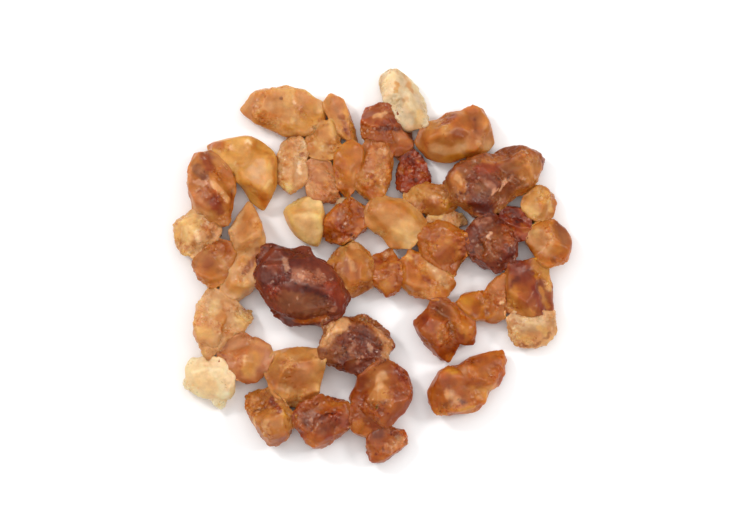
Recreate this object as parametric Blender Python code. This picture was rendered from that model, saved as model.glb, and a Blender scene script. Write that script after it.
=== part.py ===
"""A scatter of rock sugar: loose lumps of yellow and brown crystal sugar, as they lie on a table.

Blender 4.5, metres, +Z up. The table is z = 0, and the middle of the scatter's box stands over the origin.
Each lump is one object. A lump is one convex block of sugar, or two or three that have grown together. A
block is the hull of a few uneven rings round its outline, with flats broken off it. Crusty blocks get small
crags, and where two lumps would touch, both are cut back to a narrow gap.
"""

import math
import random
from dataclasses import dataclass
from enum import Enum

import bmesh
import bpy
import numpy as np
from mathutils import Vector

# The driving size, and what turns the photograph's pixels into metres. Places and reaches below are read off
# the photograph by eye, in its pixels, which come out at a quarter of a millimetre each.
SCATTER_WIDTH = 0.09875
SCATTER_WIDTH_PX = 395
PIXEL = SCATTER_WIDTH / SCATTER_WIDTH_PX
MIDDLE_PX = (373.5, 265.5)
MM = 0.001

# How a block rises from the table, as shares of its height and of its outline's reach. The outline grows by
# what the flats and crags take off it again. Between two reaches it has one more point. It lies between the
# straight line that joins them, which leaves a sharp corner at each, and the smooth curve through them and
# the next reaches.
REACHES = 8
OUTLINE_GROWTH = 1.10
CORNER_SHARPNESS = (0.0, 1.0)
CURVE_NEAR_SHARE = 9 / 16
CURVE_FAR_SHARE = -1 / 16
FOOT_REACH = (0.66, 0.88)
GIRDLE_HEIGHT = (0.22, 0.52)
SHOULDER_POINTS = 6
SHOULDER_REACH = (0.66, 0.94)
SHOULDER_HEIGHT = (0.58, 0.86)
CROWN_POINTS = 4
CROWN_REACH = (0.30, 0.74)
CROWN_HEIGHT = (0.80, 1.0)
UNEVEN = 0.3

# Flats broken off a block: how many, how steeply each looks up, and how deep it goes, as a share of the
# block.
FLATS = 7
FLAT_TILT = (math.radians(36), math.radians(84))
FLAT_DEPTH = (0.06, 0.18)

# The crags of a crusty block: the least crust that has any, and the sizes of the crags.
CRAG_CRUST = 0.3
CRAG_LENGTH = 3.0 * MM
CRAG_DEPTH = 0.5 * MM
CRAG_WELD = 0.2 * MM
FLAT_ENOUGH = math.radians(1)

# The gap between two lumps, and the ways in which the plane between them may look.
GAP = 0.3 * MM
PLANE_TURN = math.radians(5)
PLANE_TILTS = [math.radians(tilt) for tilt in (-35, -20, -10, 0, 10, 20, 35)]

# Corners nearer than this are one corner, and a cut takes in the corners that lie this near to its plane.
WELD = 0.01 * MM
CUT_SNAP = 0.001 * MM


class Sugar(Enum):
    """The sorts of sugar, with the colour that each shows (linear RGB) and its roughness."""

    PALE = ((0.78, 0.58, 0.34), 0.30)
    HONEY = ((0.60, 0.33, 0.13), 0.32)
    AMBER = ((0.45, 0.17, 0.05), 0.28)
    BROWN = ((0.27, 0.075, 0.025), 0.34)
    DARK = ((0.095, 0.025, 0.014), 0.36)


@dataclass(frozen=True)
class Block:
    """One convex block: its middle, its height, and how far it reaches from its middle every 45 degrees.

    The reaches go anticlockwise as seen from above, from turn_deg, where 0 is +X.
    """

    at_px: tuple
    top_mm: float
    reach_px: tuple
    turn_deg: float = 0.0


@dataclass(frozen=True)
class Lump:
    """One lump: its sort of sugar, how crusty it is from 0, smooth, to 1, and its blocks."""

    sugar: Sugar
    crust: float
    blocks: tuple


LUMPS = (
    # The top of the scatter, from left to right.
    Lump(Sugar.HONEY, 0.5, (Block((286, 108), 9.5, (40.5, 29, 25, 27, 43, 23.5, 24.5, 31)),)),
    Lump(Sugar.AMBER, 0.3, (Block((341, 112), 7.5, (11, 10, 14.5, 21, 14.5, 8.5, 14, 33), -15),)),
    Lump(
        Sugar.PALE,
        0.2,
        (
            Block((397, 87), 9, (20, 17, 19.5, 19.5, 14.5, 17, 22, 25)),
            Block((411, 108), 8.5, (14.5, 16, 24, 19, 16.5, 16, 19.5, 19.5)),
        ),
    ),
    Lump(
        Sugar.BROWN,
        0.4,
        (
            Block((381, 121), 9, (18.5, 18, 18, 19.5, 19.5, 24.5, 18, 29)),
            Block((400, 141), 7.5, (14.5, 15, 15.5, 11, 10, 14.5, 16.5, 9.5)),
        ),
    ),
    Lump(Sugar.BROWN, 0.9, (Block((375, 169), 10, (18, 18.5, 30.5, 23, 17.5, 22, 30, 22)),)),
    Lump(Sugar.DARK, 0.9, (Block((413, 169), 8, (14.5, 14, 22.5, 17.5, 15.5, 22, 21, 20.5)),)),
    Lump(
        Sugar.AMBER,
        0.1,
        (
            Block((449, 137), 11, (22, 36, 23, 17, 29, 27.5, 24, 26)),
            Block((474, 133), 10, (22, 16, 25, 25, 16, 20, 25, 21), -22),
        ),
    ),
    # The right side, downwards.
    Lump(
        Sugar.DARK,
        0.7,
        (
            Block((485, 188), 15, (35.5, 36.5, 28.5, 31.5, 38.5, 28, 28.5, 27.5)),
            Block((519, 174), 13, (21.5, 28, 23, 27, 34, 29, 25, 21.5), -15),
        ),
    ),
    Lump(Sugar.HONEY, 0.4, (Block((540, 204), 8, (16.5, 14.5, 19.5, 16, 20, 17, 16, 18.5)),)),
    Lump(Sugar.HONEY, 0.3, (Block((550, 244), 10.5, (19.5, 21, 22.5, 24.5, 22, 18, 23, 21.5)),)),
    Lump(Sugar.DARK, 1.0, (Block((491, 246), 13, (22, 22, 25.5, 29.5, 22.5, 24, 25, 28)),)),
    Lump(Sugar.DARK, 0.4, (Block((516, 223), 9, (14.5, 13, 17, 19, 15, 12, 20, 16)),)),
    Lump(Sugar.AMBER, 0.2, (Block((530, 289), 12, (23, 25, 26, 28, 21.5, 33, 28, 31)),)),
    Lump(Sugar.HONEY, 0.7, (Block((530, 331), 9, (23, 26, 16, 25.5, 21, 20, 16, 20)),)),
    Lump(
        Sugar.AMBER,
        0.3,
        (
            Block((474, 306), 7, (17, 18.5, 11.5, 14, 17.5, 10, 13, 20.5)),
            Block((495, 300), 9, (12.5, 12.5, 24, 14, 11, 14, 23, 20.5), -20),
        ),
    ),
    Lump(
        Sugar.BROWN,
        0.6,
        (
            Block((451, 322), 10, (21.5, 18, 17.5, 26, 22.5, 17, 19, 31.5)),
            Block((439, 335), 11, (20.5, 22, 22, 27.5, 24.5, 15.5, 16.5, 29), -25),
        ),
    ),
    Lump(
        Sugar.AMBER,
        0.4,
        (
            Block((478, 374), 10, (24.5, 33, 17, 18, 29.5, 22, 17.5, 20)),
            Block((458, 392), 12, (27.5, 23, 25.5, 26, 28, 29, 21, 26.5)),
        ),
    ),
    # The middle, from right to left.
    Lump(Sugar.AMBER, 0.4, (Block((446, 251), 11, (20, 23.5, 25.5, 27, 18, 17, 31, 21), 15),)),
    Lump(Sugar.AMBER, 0.3, (Block((425, 278), 10, (30.5, 14.5, 16, 27, 23.5, 23, 19.5, 24.5), -13),)),
    Lump(Sugar.HONEY, 0.0, (Block((395, 224), 12.5, (28, 20, 22.5, 30.5, 27.5, 17.5, 21.5, 29)),)),
    Lump(Sugar.AMBER, 0.5, (Block((430, 199), 8, (24.5, 17.5, 14.5, 14, 28, 18, 14, 14), -15),)),
    Lump(Sugar.HONEY, 0.8, (Block((448, 219), 6, (20.5, 11, 7.5, 10, 21, 10.5, 8, 12.5)),)),
    Lump(Sugar.BROWN, 0.9, (Block((347, 225), 11, (19, 27, 26, 17, 20, 24.5, 21, 17.5)),)),
    Lump(Sugar.AMBER, 0.4, (Block((353, 270), 11, (18.5, 24, 28, 24, 21, 20.5, 28, 24)),)),
    Lump(Sugar.AMBER, 0.5, (Block((386, 273), 9, (13.5, 18, 24, 19.5, 13.5, 17, 24.5, 18)),)),
    Lump(Sugar.HONEY, 0.0, (Block((306, 220), 11, (19, 19.5, 26.5, 22.5, 22.5, 17, 19, 28), -20),)),
    Lump(Sugar.HONEY, 0.7, (Block((291, 166), 9, (13.5, 21, 30, 18, 13.5, 18.5, 27, 19)),)),
    Lump(Sugar.HONEY, 0.4, (Block((323, 146), 9, (19, 16.5, 27, 13, 19.5, 19, 12.5, 15.5), -15),)),
    Lump(Sugar.AMBER, 0.2, (Block((348, 173), 8, (10.5, 20, 30, 16, 10, 13.5, 23.5, 16)),)),
    Lump(Sugar.AMBER, 0.8, (Block((322, 180), 8.5, (15, 17, 19.5, 22.5, 17, 21, 19.5, 22)),)),
    Lump(Sugar.HONEY, 0.2, (Block((341, 203), 3, (7, 6.5, 5.5, 6, 7, 7, 4.5, 5)),)),
    # The left side, downwards.
    Lump(Sugar.BROWN, 0.4, (Block((210, 186), 13, (25.5, 21, 26, 33, 23, 22.5, 30.5, 42), -20),)),
    Lump(
        Sugar.AMBER,
        0.0,
        (
            Block((240, 153), 10, (22.5, 24.5, 17, 16.5, 34.5, 18, 19, 23.5), -16),
            Block((259, 172), 11, (19, 22.5, 34, 22.5, 20, 21, 36, 21), 8),
        ),
    ),
    Lump(Sugar.HONEY, 0.9, (Block((196, 238), 11, (31, 22.5, 23.5, 21, 18.5, 22.5, 22, 12), 9),)),
    Lump(Sugar.AMBER, 0.5, (Block((217, 264), 11, (18.5, 24, 23, 18, 22, 22, 22, 20)),)),
    Lump(
        Sugar.AMBER,
        0.1,
        (
            Block((249, 238), 11.5, (16.5, 19, 34, 18, 15, 19.5, 32, 23)),
            Block((243, 277), 9.5, (15.5, 24, 25, 13, 25, 24, 17, 12.5), 25),
        ),
    ),
    Lump(
        Sugar.HONEY,
        0.8,
        (
            Block((211, 322), 12, (20, 23.5, 33.5, 19.5, 13.5, 19, 34.5, 18.5)),
            Block((236, 320), 9.5, (20, 12.5, 17, 22, 24, 18, 14, 15), 27),
        ),
    ),
    Lump(Sugar.AMBER, 0.3, (Block((246, 360), 12, (29, 22, 26.5, 27.5, 19.5, 22.5, 25, 22.5), 28),)),
    Lump(
        Sugar.PALE,
        0.5,
        (
            Block((213, 380), 10, (21, 17.5, 18.5, 26, 22, 21, 19, 26)),
            Block((195, 384), 7, (9, 9, 11, 8, 9.5, 6, 7.5, 9.5)),
            Block((221, 400), 6, (7.5, 8.5, 6.5, 8, 7.5, 7.5, 9.5, 9)),
        ),
    ),
    # The bottom, from left to right, and the two big lumps above it.
    Lump(Sugar.AMBER, 0.3, (Block((298, 377), 13, (24.5, 31, 26, 29, 28, 26, 29.5, 26)),)),
    Lump(Sugar.AMBER, 0.6, (Block((270, 417), 12, (22.5, 18.5, 24.5, 28.5, 20, 16.5, 27, 25.5)),)),
    Lump(Sugar.BROWN, 0.8, (Block((325, 421), 12, (24.5, 28.5, 24.5, 21, 26.5, 24.5, 28.5, 21.5), -20),)),
    Lump(
        Sugar.BROWN,
        0.3,
        (
            Block((385, 395), 15, (25.5, 28.5, 29.5, 22.5, 30.5, 26.5, 28.5, 25.5)),
            Block((370, 419), 10, (21, 15, 15.5, 22, 17.5, 21, 18, 14)),
        ),
    ),
    Lump(Sugar.BROWN, 0.5, (Block((389, 445), 9, (19.5, 21.5, 15.5, 17.5, 18.5, 24, 13, 11)),)),
    Lump(
        Sugar.DARK,
        0.7,
        (
            Block((300, 288), 17, (47, 33, 33, 41, 42, 36.5, 37, 40), -16),
            Block((282, 272), 14, (28, 27, 21, 28, 23, 25, 27, 28), -7),
        ),
    ),
    Lump(
        Sugar.DARK,
        1.0,
        (
            Block((357, 346), 15, (36.5, 33.5, 24.5, 33, 34, 30, 30.5, 28)),
            Block((361, 322), 9, (8, 7, 5.5, 7, 9, 8, 8, 8)),
        ),
    ),
)


def clear_the_scene() -> None:
    """Takes every object out of the scene."""
    for thing in list(bpy.data.objects):
        bpy.data.objects.remove(thing, do_unlink=True)


def sugar_material(sugar: Sugar) -> bpy.types.Material:
    """Makes the plain material of one sort of sugar."""
    colour, roughness = sugar.value
    material = bpy.data.materials.new(f"{sugar.name.lower()}_sugar")
    material.use_nodes = True
    shader = material.node_tree.nodes["Principled BSDF"]
    shader.inputs["Base Color"].default_value = (*colour, 1.0)
    shader.inputs["Roughness"].default_value = roughness
    shader.inputs["Metallic"].default_value = 0.0
    material.diffuse_color = (*colour, 1.0)
    return material


def middle_of(block: Block) -> Vector:
    """The block's middle on the table, in metres."""
    right, down = block.at_px[0] - MIDDLE_PX[0], block.at_px[1] - MIDDLE_PX[1]
    return Vector((right * PIXEL, -down * PIXEL, 0.0))


def outline_of(block: Block, dice: random.Random) -> list:
    """The block's outline seen from above: two distances from its middle for each reach, in metres."""
    outline = []
    for step in range(REACHES):
        a, b, c, d = (block.reach_px[(step + ahead) % REACHES] for ahead in (-1, 0, 1, 2))
        smooth = CURVE_NEAR_SHARE * (b + c) + CURVE_FAR_SHARE * (a + d)
        straight = b * c * 2 * math.cos(math.pi / REACHES) / (b + c)
        sharpness = dice.uniform(*CORNER_SHARPNESS)
        outline.append(b * PIXEL * OUTLINE_GROWTH)
        outline.append((smooth + (straight - smooth) * sharpness) * PIXEL * OUTLINE_GROWTH)
    return outline


def point_of(block: Block, outline: list, turn: float, reach_share: float, height_share: float) -> Vector:
    """A point of the block, by its turn from 0 to 1 and its shares of the reach there and of the height."""
    angle = math.radians(block.turn_deg) + turn * math.tau
    before = math.floor(turn * len(outline))
    share = turn * len(outline) - before
    reach = outline[before % len(outline)] * (1 - share) + outline[(before + 1) % len(outline)] * share
    across = Vector((math.cos(angle), math.sin(angle), 0.0)) * reach * reach_share
    return middle_of(block) + across + Vector((0.0, 0.0, block.top_mm * MM * height_share))


def block_hull(block: Block, dice: random.Random) -> bmesh.types.BMesh:
    """The convex hull of the block's foot, girdle, shoulder and crown."""
    outline = outline_of(block, dice)
    points = []
    for step in range(len(outline)):
        turn = step / len(outline)
        points.append(point_of(block, outline, turn, dice.uniform(*FOOT_REACH), 0.0))
        points.append(point_of(block, outline, turn, 1.0, dice.uniform(*GIRDLE_HEIGHT)))
    for count, reach, height in (
        (SHOULDER_POINTS, SHOULDER_REACH, SHOULDER_HEIGHT),
        (CROWN_POINTS, CROWN_REACH, CROWN_HEIGHT),
    ):
        start = dice.random()
        for step in range(count):
            turn = (start + (step + dice.uniform(-UNEVEN, UNEVEN)) / count) % 1.0
            points.append(point_of(block, outline, turn, dice.uniform(*reach), dice.uniform(*height)))
    shape = bmesh.new()
    for point in points:
        shape.verts.new(point)
    hull = bmesh.ops.convex_hull(shape, input=shape.verts[:], use_existing_faces=False)
    inside = [part for part in hull["geom_interior"] if isinstance(part, bmesh.types.BMVert)]
    bmesh.ops.delete(shape, geom=inside, context="VERTS")
    return shape


def cut_away(shape: bmesh.types.BMesh, point: Vector, outward: Vector) -> None:
    """Cuts off what lies beyond the plane through point, and closes the cut with a flat face."""
    parts = shape.verts[:] + shape.edges[:] + shape.faces[:]
    bmesh.ops.bisect_plane(
        shape, geom=parts, dist=CUT_SNAP, plane_co=point, plane_no=outward, clear_outer=True
    )
    rim = [edge for edge in shape.edges if edge.is_boundary]
    if rim:
        bmesh.ops.holes_fill(shape, edges=rim, sides=0)


def break_off_flats(shape: bmesh.types.BMesh, dice: random.Random) -> None:
    """Breaks a few flats off the upper part of a block."""
    for _ in range(FLATS):
        turn, tilt = dice.uniform(0.0, math.tau), dice.uniform(*FLAT_TILT)
        level = math.cos(tilt)
        outward = Vector((level * math.cos(turn), level * math.sin(turn), math.sin(tilt)))
        along = [outward.dot(corner.co) for corner in shape.verts]
        depth = dice.uniform(*FLAT_DEPTH) * (max(along) - min(along))
        cut_away(shape, outward * (max(along) - depth), outward)


def roughen(shape: bmesh.types.BMesh, crust: float, dice: random.Random) -> None:
    """Presses the corners above the table in by uneven depths, deeper where the crust is thicker.

    They only move inwards, so the gaps to the neighbours stay open.
    """
    bmesh.ops.remove_doubles(shape, verts=shape.verts[:], dist=CRAG_WELD)
    bmesh.ops.triangulate(shape, faces=shape.faces[:])
    if crust < CRAG_CRUST:
        return
    upper = [edge for edge in shape.edges if max(end.co.z for end in edge.verts) > WELD]
    long_edges = [edge for edge in upper if edge.calc_length() > CRAG_LENGTH]
    bmesh.ops.subdivide_edges(shape, edges=long_edges, cuts=1)
    bmesh.ops.triangulate(shape, faces=shape.faces[:])
    within_flats = [edge for edge in shape.edges if edge.calc_face_angle(math.pi) < FLAT_ENOUGH]
    bmesh.ops.beautify_fill(shape, faces=shape.faces[:], edges=within_flats, method="ANGLE")
    shape.normal_update()
    for corner in shape.verts:
        if corner.co.z > WELD:
            corner.co -= corner.normal * CRAG_DEPTH * crust * dice.random()


def corners_of(shape: bmesh.types.BMesh) -> np.ndarray:
    """The places of a shape's corners, one row each."""
    return np.array([corner.co[:] for corner in shape.verts])


def plane_ways() -> np.ndarray:
    """Every way in which the plane between two lumps may look, one row each."""
    ways = []
    for tilt in PLANE_TILTS:
        for step in range(round(math.tau / PLANE_TURN)):
            turn = step * PLANE_TURN
            level = math.cos(tilt)
            ways.append((level * math.cos(turn), level * math.sin(turn), math.sin(tilt)))
    return np.array(ways)


def part_from_each_other(one: bmesh.types.BMesh, other: bmesh.types.BMesh, ways: np.ndarray) -> None:
    """Cuts two blocks back to the plane that parts them best, if they are closer than the gap."""
    mine, theirs = corners_of(one), corners_of(other)
    if (mine.min(0) > theirs.max(0) + GAP).any() or (theirs.min(0) > mine.max(0) + GAP).any():
        return
    ends, starts = (mine @ ways.T).max(0), (theirs @ ways.T).min(0)
    best = int(np.argmax(starts - ends))
    if starts[best] - ends[best] >= GAP:
        return
    outward, middle = Vector(ways[best]), float(starts[best] + ends[best]) / 2
    cut_away(one, outward * (middle - GAP / 2), outward)
    cut_away(other, outward * (middle + GAP / 2), -outward)


def object_of(shape: bmesh.types.BMesh, name: str, origin: Vector) -> bpy.types.Object:
    """Turns a shape into an object whose own origin stands at the origin given."""
    bmesh.ops.remove_doubles(shape, verts=shape.verts[:], dist=WELD)
    bmesh.ops.triangulate(shape, faces=shape.faces[:])
    bmesh.ops.recalc_face_normals(shape, faces=shape.faces[:])
    bmesh.ops.translate(shape, verts=shape.verts[:], vec=-origin)
    mesh = bpy.data.meshes.new(name)
    shape.to_mesh(mesh)
    shape.free()
    thing = bpy.data.objects.new(name, mesh)
    thing.location = origin
    bpy.context.scene.collection.objects.link(thing)
    return thing


def grow_together(lump: bpy.types.Object, block: bpy.types.Object) -> None:
    """Joins a block to its lump by a Boolean union, which is applied, and removes the block's own object."""
    union = lump.modifiers.new("grow_together", "BOOLEAN")
    union.operation = "UNION"
    union.object = block
    graph = bpy.context.evaluated_depsgraph_get()
    joined = bpy.data.meshes.new_from_object(lump.evaluated_get(graph), depsgraph=graph)
    joined.name = lump.name
    lump.modifiers.clear()
    lump.data = joined
    bpy.data.objects.remove(block, do_unlink=True)


def make_blocks() -> list:
    """Makes the blocks of every lump, clear of the other lumps' blocks: a list of shapes for each lump."""
    made = []
    for seed, lump in enumerate(LUMPS):
        dice = random.Random(seed)
        shapes = []
        for block in lump.blocks:
            shape = block_hull(block, dice)
            break_off_flats(shape, dice)
            shapes.append(shape)
        made.append(shapes)
    ways = plane_ways()
    for index, shapes in enumerate(made):
        for others in made[:index]:
            for one in shapes:
                for other in others:
                    part_from_each_other(one, other, ways)
    for seed, (lump, shapes) in enumerate(zip(LUMPS, made)):
        dice = random.Random(seed)
        for shape in shapes:
            roughen(shape, lump.crust, dice)
    return made


def make_lump(lump: Lump, number: int, shapes: list) -> bpy.types.Object:
    """Makes one lump from the shapes of its blocks, with its own origin at its first block's middle."""
    name = f"{lump.sugar.name.lower()}_lump_{number:02d}"
    origin = middle_of(lump.blocks[0])
    thing = object_of(shapes[0], name, origin)
    for part, shape in enumerate(shapes[1:], start=2):
        grow_together(thing, object_of(shape, f"{name}_block_{part}", origin))
    return thing


def stand_over_the_origin(lumps: list) -> None:
    """Parents the lumps to one empty and moves it, so that the middle of their box stands over the origin."""
    bpy.context.view_layer.update()
    corners = [thing.matrix_world @ Vector(corner) for thing in lumps for corner in thing.bound_box]
    middle = [(min(axis) + max(axis)) / 2 for axis in zip(*corners)]
    scatter = bpy.data.objects.new("scatter", None)
    scatter.location = (-middle[0], -middle[1], 0.0)
    bpy.context.scene.collection.objects.link(scatter)
    for thing in lumps:
        thing.parent = scatter


def main() -> None:
    """Builds every lump and stands the scatter's middle over the origin."""
    clear_the_scene()
    materials = {sugar: sugar_material(sugar) for sugar in Sugar}
    lumps = []
    for number, (lump, shapes) in enumerate(zip(LUMPS, make_blocks()), start=1):
        thing = make_lump(lump, number, shapes)
        thing.data.materials.clear()
        thing.data.materials.append(materials[lump.sugar])
        lumps.append(thing)
    stand_over_the_origin(lumps)


main()
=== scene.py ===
"""The looks of a scatter of rock sugar: 46 loose lumps of crystal sugar on a white table, seen from above.

Each lump starts from its own solid in the frame. Its surface is remeshed finely, filled out towards the lumps
that it lies against, creased along the ridges that show on it, broken into faces, and covered with small
intergrown crystals where it is crusty. A lump's colour is stored at its points: its own tint, and the patches
and streaks of other tints that show in it, some of them painted glints, highlights and sheen, and painted
shade and glow on its faces and flanks. Lumps of one sort of sugar are joined into one piece.
"""

import logging
import math
from dataclasses import dataclass, field
from enum import Enum

import bmesh
import bpy
import numpy as np
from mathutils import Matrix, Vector
from mathutils.bvhtree import BVHTree
from mathutils.kdtree import KDTree


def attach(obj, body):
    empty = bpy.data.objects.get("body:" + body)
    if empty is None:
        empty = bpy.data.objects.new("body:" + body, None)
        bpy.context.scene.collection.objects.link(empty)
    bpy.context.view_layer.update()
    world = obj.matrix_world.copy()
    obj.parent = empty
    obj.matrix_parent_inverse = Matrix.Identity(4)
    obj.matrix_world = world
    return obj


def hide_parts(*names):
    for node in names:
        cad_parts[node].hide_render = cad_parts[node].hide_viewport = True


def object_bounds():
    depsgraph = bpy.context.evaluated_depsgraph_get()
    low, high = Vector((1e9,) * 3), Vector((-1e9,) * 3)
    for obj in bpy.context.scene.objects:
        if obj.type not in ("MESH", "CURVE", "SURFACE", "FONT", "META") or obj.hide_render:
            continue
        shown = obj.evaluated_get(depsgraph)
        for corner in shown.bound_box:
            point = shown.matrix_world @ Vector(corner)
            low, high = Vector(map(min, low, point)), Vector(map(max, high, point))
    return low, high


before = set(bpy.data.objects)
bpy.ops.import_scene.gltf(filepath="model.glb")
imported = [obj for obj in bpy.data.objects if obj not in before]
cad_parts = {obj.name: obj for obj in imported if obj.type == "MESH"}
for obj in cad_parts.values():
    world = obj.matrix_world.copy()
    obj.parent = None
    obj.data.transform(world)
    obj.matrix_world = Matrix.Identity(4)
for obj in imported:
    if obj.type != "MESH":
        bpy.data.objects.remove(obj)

# A place in the photograph, in its pixels, and a millimetre in metres.
Place = tuple[float, float]
MM = 0.001

LOG = logging.getLogger("rock_sugar")
CAD_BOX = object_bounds()

# How much red, green and blue light the sugar's gloss adds to its own colour, and the least share of a colour
# that is left when this is taken off.
GLARE = np.array((0.019, 0.004, 0.024))
LEAST_OWN = 0.35

# Lumps that lie near each other but keep clear, so that white shows between them, by their numbers.
APART = (
    {1, 27}, {1, 33}, {2, 4}, {5, 6}, {6, 7}, {6, 8}, {7, 8}, {13, 16}, {16, 17}, {16, 18}, {23, 26},
    {26, 27}, {27, 33}, {32, 36}, {33, 36}, {38, 41},
)


class Tint(Enum):
    """Colours in sRGB from 0 to 255: the sugar's own, and painted glints, highlights and sheen."""

    # Painted glint colour, laid into the colour of a few fine crystals of the crust.
    SPARK = (236, 196, 170)
    CREAM = (250, 214, 174)
    IVORY = (220, 192, 158)
    STRAW = (228, 180, 116)
    # Painted glint colour: small pale pink glints on the darker lumps.
    PAINTED_GLINT = (208, 152, 124)
    HONEY = (208, 146, 80)
    TAN = (208, 150, 104)
    CARAMEL = (202, 132, 66)
    OCHRE = (202, 136, 82)
    GOLD = (194, 124, 46)
    AMBER = (188, 108, 50)
    TOFFEE = (176, 104, 58)
    ORANGE = (174, 90, 36)
    PINK = (192, 120, 80)
    # Painted highlight colour: lighter spots and streaks where dark lumps catch the light.
    PAINTED_HIGHLIGHT = (164, 98, 80)
    RUST = (154, 72, 30)
    BROWN = (136, 68, 38)
    RED = (134, 44, 18)
    # Mauve brown, partly the sugar's own colour and partly painted sheen from the gloss of dark lumps.
    MAUVE_AND_SHEEN = (130, 68, 54)
    UMBER = (112, 40, 26)
    MAHOGANY = (98, 28, 16)

    def linear(self) -> np.ndarray:
        """The colour, by sRGB's own curve and without the gloss.

        Returns:
            The colour as scene-linear RGB.
        """
        share = np.array(self.value) / 255.0
        seen = np.where(share <= 0.04045, share / 12.92, ((share + 0.055) / 1.055) ** 2.4)
        return np.maximum(seen - GLARE, seen * LEAST_OWN)


@dataclass(frozen=True)
class Patch:
    """A patch or a streak of another tint in a lump; some are painted glints, highlights and sheen.

    Args:
        tint: Its colour.
        radius: How far it reaches to either side.
        path_px: The place in the photograph where it shows, or the corners of the path that it follows.
        strength: How much of its colour shows, from 0 to 1.
    """

    tint: Tint
    radius: float
    path_px: tuple[Place, ...]
    strength: float


@dataclass(frozen=True)
class Ridge:
    """A ridge between two faces of a lump, or a groove.

    Args:
        height: How high it stands, or below 0 how deep it is.
        width: How far its faces slope away to either side.
        path_px: The corners of the path that it follows in the photograph.
    """

    height: float
    width: float
    path_px: tuple[Place, ...]


@dataclass(frozen=True)
class Lump:
    """How one lump looks.

    Args:
        number: Its number, which ends the name of its node in the frame.
        tint: Its own colour.
        crust: How crusty it is, from 0, smooth, to 1.
        patches: The patches of other tints in it, each laid over those before it.
        ridges: The ridges that show on it.
    """

    number: int
    tint: Tint
    crust: float
    patches: tuple[Patch, ...] = ()
    ridges: tuple[Ridge, ...] = ()


def patch(tint: Tint, radius_mm: float, *path_px: Place, strength: float = 0.75) -> Patch:
    """A patch, with its reach given in millimetres."""
    return Patch(tint, radius_mm * MM, path_px, strength)


def ridge(height_mm: float, width_mm: float, *path_px: Place) -> Ridge:
    """A ridge, with its sizes given in millimetres."""
    return Ridge(height_mm * MM, width_mm * MM, path_px)


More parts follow.
